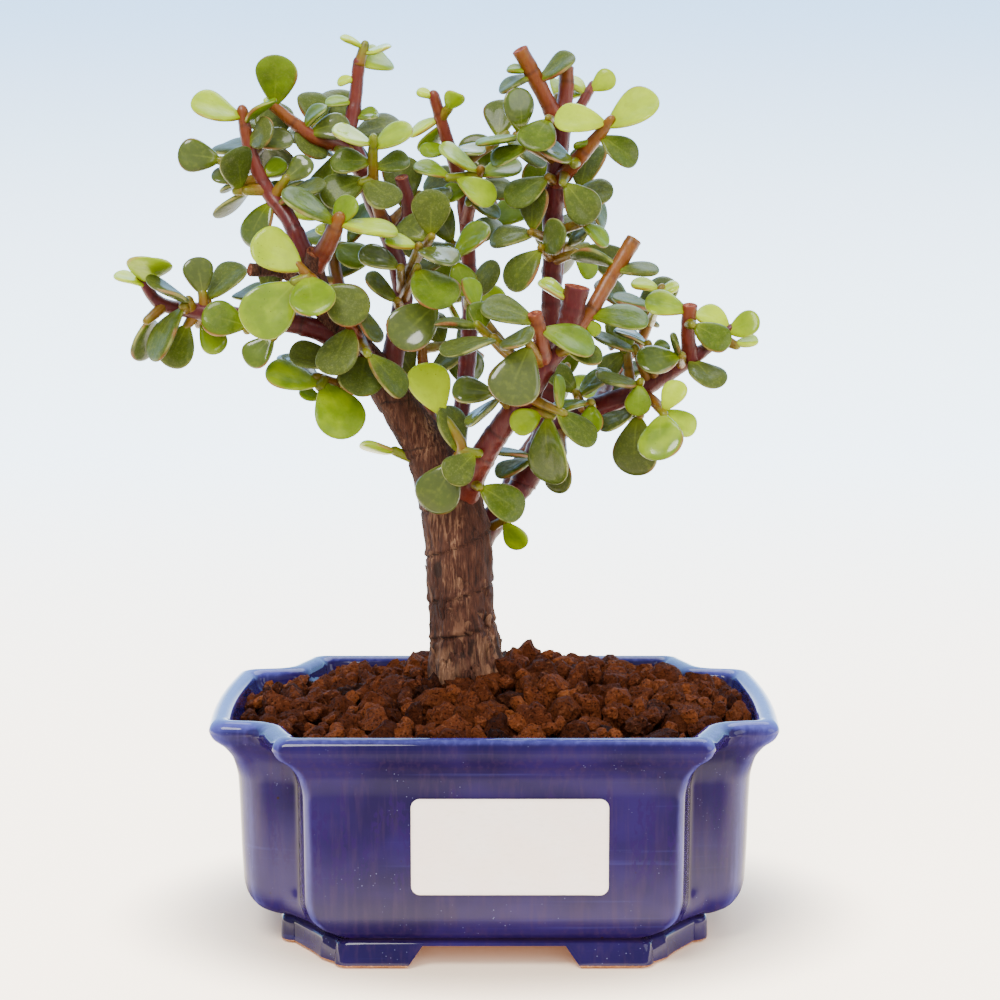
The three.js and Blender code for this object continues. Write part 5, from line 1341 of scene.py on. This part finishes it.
def make_trunk(settings):
    finish = bark_finish(settings)

    def relief(along, middles, spokes):
        places = (middles[:, None] + spokes * 7).reshape(-1, 3)
        stretched = places * (1, 1, 0.2)
        ridges = noise_at(stretched, 2.3, 1, 3).reshape(len(middles), -1)
        lumps = noise_at(places, 9, 2, 2).reshape(len(middles), -1)
        fine = noise_at(places * (1, 1, 0.35), 0.9, 5, 2).reshape(len(middles), -1)
        low = smoothstep(78, 60, middles[:, 2])[:, None]
        made = ridges * (0.045 + 0.06 * low) + lumps * (0.05 + 0.06 * low) + fine * 0.014
        for middle, reach in FORKS:
            near = np.linalg.norm(places - np.array(middle), axis=1).reshape(len(middles), -1)
            made += 0.1 * bell(near, reach * 2.2)
        for height, lean in BARK_RINGS:
            line_at = height + lean * spokes[:, :, 0] + noise_at(places, 5, 7).reshape(len(middles), -1) * 0.35
            gap = middles[:, 2][:, None] - line_at
            made += 0.03 * bell(gap - 0.9, 0.7) - 0.07 * bell(gap, 0.34)
        return made

    places, faces, _, cuts = tube(TRUNK_LINE, 96, 0.55, True, relief=relief)
    trunk = new_object("trunk_bark", places, faces, finish)
    outward_faces(trunk)
    z = places[:, 2]
    side = (places[:, 0] - np.interp(z, TRUNK_LINE.points[:, 2], TRUNK_LINE.points[:, 0])) / 7
    crack = np.zeros(len(places))
    wobble = noise_at(places, 5, 7)
    for height, lean in BARK_RINGS:
        crack = np.maximum(crack, bell(z - (height + lean * side + wobble * 0.35), 0.3) * (0.9 + 0.5 * wobble))
    # Painted shade: a dark oval on the trunk's front left stands for a hollow, which the shape does not have.
    hollow = np.linalg.norm((places - np.array([-12.3, -5, 79])) / (1.3, 3, 2.2), axis=1)
    crack = np.maximum(crack, smoothstep(1.2, 0.7, hollow))
    crevice = smoothstep(0.25, 0.6, noise_at(places * (1, 1, 0.3), 2.1, 9, 2)) * smoothstep(74, 64, z)
    flake = smoothstep(0.1, 0.5, noise_at(places * (1, 1, 0.4), 3.2, 12, 3)) * (0.35 + 0.65 * smoothstep(76, 62, z))
    crack = np.clip(np.maximum(crack, crevice), 0, 1)
    give(trunk, crack=crack, flake=flake, cut=cuts, base=smoothstep(76, 58, z))
    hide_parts("trunk")
    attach(trunk, "root")

    heap = Heap()
    draw = seeded(settings.seed)
    heights = TRUNK_LINE.points[:7, 2]
    for _ in range(settings.flakes):
        z0 = mix(51, 92, draw() ** 1.5)
        angle = draw() * 2 * math.pi
        middle = np.array([np.interp(z0, heights, TRUNK_LINE.points[:7, 0]), 0, z0])
        radius = np.interp(z0, heights, TRUNK_LINE.radii[:7])
        out = np.array([math.cos(angle), math.sin(angle), 0])
        across = np.cross(UP, out)
        wide, tall = mix(0.5, 1.5, draw()), mix(1.6, 4.6, draw())
        curl, lean = mix(0.3, 1.3, draw()), mix(-0.35, 0.35, draw())
        rows = []
        for share in np.linspace(-0.5, 0.5, 7):
            width = wide * math.sqrt(max(0.02, 1 - (2 * share) ** 2)) * (1 + 0.3 * (draw() - 0.5))
            lift = 0.15 + curl * max(0, share + 0.1) ** 1.5
            spot = middle + out * (radius + lift) + UP * share * tall + across * lean * share * tall
            rows.append([spot + across * s * width - out * abs(s) * 0.25 + out * d for s, d in FLAKE_SECTION])
        places, faces = loft(list(np.array(rows)))
        heap.add(places, faces, crack=0.0, flake=mix(0.3, 1, draw()), cut=0.0, base=0.8)
    spur = Path(LIMBS["dark_spur"].points)
    places, faces, _, cuts = tube(spur, 16, 0.6, True, relief=knotty(31, 0.1))
    heap.add(places, faces, crack=0.35, flake=0.1, cut=cuts, base=0.3)
    pieces = heap.build("trunk_flakes", finish)
    outward_faces(pieces)
    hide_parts("trunk")
    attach(pieces, "root")


def knot_beat(along, seed):
    """How far each place along a stem lies past the nearest old leaf pair."""
    draw = seeded(seed)
    first, pitch = mix(2, 5, draw()), mix(6, 9, draw())
    return (along - first + pitch / 2) % pitch - pitch / 2


def knotty(seed, depth):
    """Swellings at the old leaf pairs and a slightly uneven skin."""
    def relief(along, middles, spokes):
        places = (middles[:, None] + spokes * 1.6).reshape(-1, 3)
        skin = noise_at(places, 2.6, seed, 2).reshape(len(middles), -1)
        beat = knot_beat(along, seed)
        knots = 0.07 * bell(beat, 0.9) - 0.04 * bell(beat - 0.95, 0.3)
        return skin * depth + np.where(along > 1, knots, 0)[:, None]

    return relief


def make_stems(node, paths, shoots, finish):
    heap = Heap()
    for k, (name, limb) in enumerate(LIMBS.items()):
        if limb.node != node:
            continue
        seed = k * 17 + 3
        places, faces, along, cuts = tube(paths[name], 20, 0.65, name in STUBS, 0.22, knotty(seed, 0.07))
        ring = bell(knot_beat(along, seed) - 0.95, 0.35)
        heap.add(places, faces, youth=mix(*limb.age, along / along.max()), cut=cuts, ring=ring)
    for k, shoot in enumerate(shoots):
        twig = shoot["twig"]
        if LIMBS[shoot["limb"]].node != node or not twig["path"]:
            continue
        seed = k * 13 + 7
        places, faces, along, _ = tube(twig["path"], 12, 0.7, False, 0.25, knotty(seed, 0.06))
        youth = mix(mix(*LIMBS[shoot["limb"]].age, twig["t"]), 0.88, 0.7) + 0.16 * along / along.max()
        ring = bell(knot_beat(along, seed) - 0.95, 0.35)
        heap.add(places, faces, youth=np.clip(youth, 0, 1), cut=0.0, ring=ring)
    thing = heap.build(node + "_stems", finish)
    outward_faces(thing)
    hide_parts(node)
    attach(thing, "root")


# ---------------------------------------------------------------- the leaves
LEAF_STATIONS = 18
LEAF_ROUND = 20


def leaf_body(leaf, thick, cup, draw):
    """A plump leaf: rounded margins, a narrow foot, and a shallow dish."""
    shares = (1 - np.cos(np.linspace(0.09, 0.985, LEAF_STATIONS) * np.pi)) / 2
    size = leaf["length"]
    width = leaf_width(shares) * LEAF["ratio"] * size
    stalk = mix(0.55, 0.8, draw())
    width = np.maximum(width, stalk * smoothstep(0.2, 0.0, shares))
    half = thick / 2 * np.sqrt(np.clip(1 - np.abs(2 * shares - 1) ** 3.2, 0, 1))
    half = np.maximum(half, stalk * 0.7 * smoothstep(0.25, 0.0, shares))
    angles = np.arange(LEAF_ROUND) / LEAF_ROUND * 2 * np.pi
    co, si = np.cos(angles), np.sin(angles)
    b = np.sign(co) * np.abs(co) ** 0.82
    c = np.sign(si) * np.abs(si) ** 0.86
    wave = (draw() - 0.5) * 0.5
    ripple = np.array([mix(-1, 1, draw()) for _ in range(3)])
    places = np.empty((LEAF_STATIONS, LEAF_ROUND, 3))
    for k, a in enumerate(shares):
        uneven = 1 + 0.03 * np.sin(angles * 2 + ripple[0] * 5 + a * 7) + 0.025 * np.sin(angles * 3 + ripple[1] * 5)
        across = b * width[k] * uneven
        dish = cup * (across / size) ** 2 * 4 * size + wave * (across / size) * a * 1.6
        dent = -0.22 * half[k] * bell(across / max(width[k], 0.1), 0.34) * (c > 0)
        bend = -LEAF["curl"] * a * a * size
        height = c * half[k] * (1 - 0.18 * (c < 0)) + dish + dent + bend + ripple[2] * 0.25 * np.sin(a * 5)
        middle = leaf["root"] + leaf["along"] * a * size
        places[k] = middle + leaf["across"] * across[:, None] + leaf["face"] * height[:, None]
    body, faces = loft(list(places))
    spread = lambda grid: np.append(grid.ravel(), [grid[0].mean(), grid[-1].mean()])
    along = spread(np.repeat(shares[:, None], LEAF_ROUND, axis=1))
    across = spread(np.abs(np.repeat(b[None], LEAF_STATIONS, axis=0)))
    side = spread(np.repeat(c[None], LEAF_STATIONS, axis=0))
    return body, faces, along, across, side


def make_leaves(node, shoots, finish, settings):
    heap = Heap()
    for k, shoot in enumerate(shoots):
        if LIMBS[shoot["limb"]].node != node:
            continue
        draw = seeded(settings.seed + k * 31)
        end = shoot["twig"]["t"]
        for leaf in filter(None, shoot["grown"]):
            small = smoothstep(9.5, 5.5, leaf["length"])
            tip = smoothstep(0.82, 0.97, end)
            age = np.clip(0.86 - 0.36 * small - 0.56 * tip + (draw() - 0.5) * 0.44, 0, 1)
            thick = mix(1.5, 2.1, draw()) * mix(0.85, 1.1, smoothstep(5, 12, leaf["length"])) * settings.plump
            body, faces, along, across, side = leaf_body(leaf, thick, mix(0.02, 0.16, draw()), draw)
            wet = 1.0 if draw() < 0.22 else mix(0.05, 0.35, draw())
            heap.add(body, faces, along=along, across=across, side=side, age=age, tone=draw(), wet=wet)
    if not heap.count:
        return
    thing = heap.build(node + "_leaves", finish)
    outward_faces(thing)
    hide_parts(node)
    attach(thing, "root")


# ---------------------------------------------------------------- settings
def colour_setting(name, description, red, green, blue):
    return bpy.props.FloatVectorProperty(
        name=name, description=description, subtype="COLOR", size=3, min=0, max=1, default=srgb(red, green, blue)
    )


class BonsaiGlaze(bpy.types.PropertyGroup):
    """Colours of the pot's glaze."""

    deep: colour_setting("Deep blue", "Glaze where it ran thick", 20, 9, 54)
    body: colour_setting("Blue", "Most of the glaze", 32, 18, 74)
    violet: colour_setting("Violet", "Streaks where the glaze ran down", 50, 32, 62)
    # Besides thin glaze, this colour paints the highlight along the rim's top and reflections on the ears' curves.
    pale: colour_setting("Pale blue", "Glaze that is thin, along the edges", 84, 88, 172)
    line: colour_setting("Crease", "Glaze pooled in the creases", 30, 18, 34)


class BonsaiSoil(bpy.types.PropertyGroup):
    """The fired clay granules."""

    seed: bpy.props.IntProperty(name="Seed", description="Which heap of granules is made", default=21, min=0)
    size: bpy.props.FloatProperty(name="Size", description="Scales every granule", default=1.0, min=0.5, max=2)
    dark: colour_setting("Dark", "Darkest granules", 38, 17, 9)
    middle: colour_setting("Brown", "Most granules", 80, 38, 18)
    warm: colour_setting("Orange", "Freshly broken granules", 108, 56, 26)
    pale: colour_setting("Pale", "Palest granules", 138, 84, 46)


class BonsaiWood(bpy.types.PropertyGroup):
    """The trunk's bark and the skin of the stems."""

    seed: bpy.props.IntProperty(name="Seed", description="Which flakes of bark are made", default=8, min=0)
    flakes: bpy.props.IntProperty(name="Flakes", description="Loose flakes of bark on the trunk", default=90, min=0)
    dark: colour_setting("Dark bark", "Bark in the furrows", 36, 19, 14)
    bark: colour_setting("Bark", "Most of the bark", 62, 34, 24)
    fibre: colour_setting("Fibre", "Dry fibres that stand out", 100, 68, 50)
    wine: colour_setting("Wine red", "Skin of the middle-aged stems", 74, 12, 18)
    orange: colour_setting("Orange brown", "Skin of the younger stems", 112, 60, 6)
    green: colour_setting("Green", "Skin of the shoots", 104, 112, 18)


class BonsaiLeaves(bpy.types.PropertyGroup):
    """The leaves."""

    seed: bpy.props.IntProperty(name="Seed", description="Small differences between leaves", default=40, min=0)
    plump: bpy.props.FloatProperty(
        name="Plumpness", description="Scales the thickness of the leaves", default=1.0, min=0.5, max=2
    )
    fresh: colour_setting("Fresh", "New leaves at the tips", 166, 190, 8)
    green: colour_setting("Green", "Half-grown leaves", 98, 124, 2)
    mature: colour_setting("Mature", "Grown leaves", 62, 79, 8)
    grey: colour_setting("Grey green", "The oldest leaves, with a pale bloom", 66, 76, 26)


class BonsaiStage(bpy.types.PropertyGroup):
    """The studio."""

    light: bpy.props.FloatProperty(
        name="Light", description="Power of the main light", default=13.0, min=0, unit="POWER"
    )
    floor: colour_setting("Floor", "The floor in front", 252, 232, 206)
    wall: colour_setting("Wall", "The wall behind", 226, 240, 248)
    top: colour_setting("Top", "The wall at its top", 126, 166, 206)
    apron: colour_setting("Apron", "The floor nearest to the viewer, out of view", 118, 106, 102)
    glow: bpy.props.FloatProperty(
        name="Glow", description="How much the floor and wall shine by themselves", default=4.0, min=0
    )


SETTINGS = {
    "bonsai_glaze": BonsaiGlaze, "bonsai_soil": BonsaiSoil, "bonsai_wood": BonsaiWood,
    "bonsai_leaves": BonsaiLeaves, "bonsai_stage": BonsaiStage,
}


# ---------------------------------------------------------------- the stage
# Each light: its name, place from the pot's middle in metres, size, share of the power and colour.
LIGHTS = (
    ("key_light", (-0.3, -0.6, 0.95), 0.5, 1.0, (1, 0.985, 0.96)),
    ("fill_light", (0.9, -0.5, 0.5), 0.8, 0.4, (0.98, 0.99, 1)),
    ("front_light", (0.1, -1.1, 0.5), 1.0, 1.0, (1, 0.98, 0.96)),
    ("back_light", (0.1, 0.55, 1.0), 0.9, 0.7, (0.97, 0.985, 1)),
)
# The camera: its place from the pot's middle in millimetres, the degrees that it looks down, and its focal length.
VIEWER = {"place": (1.254, -472.07, 155.76), "down": 7.49, "lens": 77.26}
# Half sizes of the painted shadow round the pot's foot, where the floor's glow is darker, in metres.
SHADE = (0.056, 0.042)


def make_stage(settings):
    """A glowing floor that bends up into a wall, with a painted shadow round the pot's foot, four soft lights and
    the camera.
    """
    middle = POT_MIDDLE * MM
    profile = [(-3, 0), (-1, 0), (0, 0), (0.9, 0)]
    profile += [(0.9 + 0.7 * math.sin(a), 0.7 - 0.7 * math.cos(a)) for a in np.radians(np.arange(6, 91, 6))]
    profile.append((1.6, 4))
    places = [(x, y, z - 0.0002) for x in (-4, 4) for y, z in profile]
    count = len(profile)
    mesh = bpy.data.meshes.new("floor")
    mesh.from_pydata(places, [], [(k, k + count, k + count + 1, k + 1) for k in range(count - 1)])
    mesh.shade_smooth()
    floor = bpy.data.objects.new("floor", mesh)
    f = Finish("plain floor", roughness=0.7, specular_ior_level=0.1, emission_strength=settings.glow)
    side, back, height = (f.node("ShaderNodeSeparateXYZ", {}, {0: f.place}, key) / 1000.0 for key in "XYZ")
    f.colour = f.blend("MIX", f.noise(500, 2).between(0.3, 0.7) * 0.04, settings.floor, srgb(255, 255, 255))
    f.lay(back.between(-0.1, 1.1), settings.wall)
    f.lay(height.between(-0.03, 0.42), settings.top)
    f.lay(back.between(-0.06, -0.14), settings.apron)
    # Painted shadow: near the pot's foot and under it the floor's glow turns dark brown.
    aside, behind = (side - middle.x) / SHADE[0], (back - middle.y) / SHADE[1]
    near = (aside * aside + behind * behind).between(2.7, 0.95)
    glow = f.blend("MIX", near, f.colour, srgb(58, 38, 26))
    mesh.materials.append(f.done(base_color=f.colour, emission_color=glow))
    f.material.cycles.emission_sampling = "NONE"
    bpy.context.scene.collection.objects.link(floor)

    for name, place, size, share, colour in LIGHTS:
        data = bpy.data.lights.new(name, "AREA")
        data.shape = "DISK"
        data.size = size
        data.energy = settings.light * share
        data.color = colour
        lamp = bpy.data.objects.new(name, data)
        lamp.location = Vector(place) + middle
        lamp.rotation_mode = "QUATERNION"
        lamp.rotation_quaternion = (middle + Vector((0, 0, 0.09)) - lamp.location).to_track_quat("-Z", "Y")
        lamp.visible_glossy = name != "front_light"
        bpy.context.scene.collection.objects.link(lamp)
    world = bpy.data.worlds.new("studio")
    world.use_nodes = True
    world.node_tree.nodes["Background"].inputs["Color"].default_value = (0.92, 0.96, 1.0, 1)
    world.node_tree.nodes["Background"].inputs["Strength"].default_value = 0.7
    bpy.context.scene.world = world
    data = bpy.data.cameras.new("camera")
    data.lens = VIEWER["lens"]
    data.sensor_width = 36
    data.clip_start, data.clip_end = 0.01, 20
    camera = bpy.data.objects.new("camera", data)
    camera.location = middle + Vector(VIEWER["place"]) * MM
    camera.rotation_euler = (math.radians(90 - VIEWER["down"]), 0, 0)
    bpy.context.scene.collection.objects.link(camera)
    bpy.context.scene.camera = camera


# ---------------------------------------------------------------- operators
class BONSAI_OT_pot(bpy.types.Operator):
    """Make the notched pot with its blue glaze"""

    bl_idname = "bonsai.pot"
    bl_label = "Pot"

    def execute(self, context):
        make_pot(context.scene.bonsai_glaze)
        return {"FINISHED"}


class BONSAI_OT_fittings(bpy.types.Operator):
    """Make the blank label and give the two drain meshes their plastic"""

    bl_idname = "bonsai.fittings"
    bl_label = "Label and Drain Meshes"

    def execute(self, context):
        make_label()
        dress_meshes()
        return {"FINISHED"}


class BONSAI_OT_soil(bpy.types.Operator):
    """Fill the pot with fired clay granules"""

    bl_idname = "bonsai.soil"
    bl_label = "Soil"

    def execute(self, context):
        make_bed(make_granules(context.scene.bonsai_soil))
        return {"FINISHED"}


class BONSAI_OT_trunk(bpy.types.Operator):
    """Make the trunk with its cracked, flaking bark"""

    bl_idname = "bonsai.trunk"
    bl_label = "Trunk"

    def execute(self, context):
        make_trunk(context.scene.bonsai_wood)
        return {"FINISHED"}


class BONSAI_OT_sprays(bpy.types.Operator):
    """Grow every leafy stem: its wood, its twigs and its leaves"""

    bl_idname = "bonsai.sprays"
    bl_label = "Leafy Stems"

    def execute(self, context):
        paths, shoots = grow()
        skin = stem_finish(context.scene.bonsai_wood)
        blade = leaf_finish(context.scene.bonsai_leaves)
        for node in dict.fromkeys(limb.node for limb in LIMBS.values()):
            if node != "trunk":
                make_stems(node, paths, shoots, skin)
            make_leaves(node, shoots, blade, context.scene.bonsai_leaves)
        return {"FINISHED"}


class BONSAI_OT_stage(bpy.types.Operator):
    """Set up the floor, the lights and the camera"""

    bl_idname = "bonsai.stage"
    bl_label = "Stage"

    def execute(self, context):
        make_stage(context.scene.bonsai_stage)
        return {"FINISHED"}


STEPS = (BONSAI_OT_pot, BONSAI_OT_fittings, BONSAI_OT_soil, BONSAI_OT_trunk, BONSAI_OT_sprays, BONSAI_OT_stage)


class BONSAI_PT_panel(bpy.types.Panel):
    """Lists the steps that build the bonsai, and their settings"""

    bl_idname = "BONSAI_PT_panel"
    bl_label = "Dwarf Jade Bonsai"
    bl_space_type = "VIEW_3D"
    bl_region_type = "UI"
    bl_category = "Bonsai"

    def draw(self, context):
        for step in STEPS:
            self.layout.operator(step.bl_idname)
        for name, group in SETTINGS.items():
            box = self.layout.box()
            box.label(text=group.__doc__)
            for key in group.__annotations__:
                box.prop(getattr(context.scene, name), key)


def register():
    for kind in (*SETTINGS.values(), *STEPS, BONSAI_PT_panel):
        bpy.utils.register_class(kind)
    for name, group in SETTINGS.items():
        setattr(bpy.types.Scene, name, bpy.props.PointerProperty(type=group))


def unregister():
    for name in SETTINGS:
        delattr(bpy.types.Scene, name)
    for kind in reversed((*SETTINGS.values(), *STEPS, BONSAI_PT_panel)):
        bpy.utils.unregister_class(kind)


def main():
    register()
    for step in STEPS:
        group, name = step.bl_idname.split(".")
        getattr(getattr(bpy.ops, group), name)()


if __name__ == "__main__":
    main()
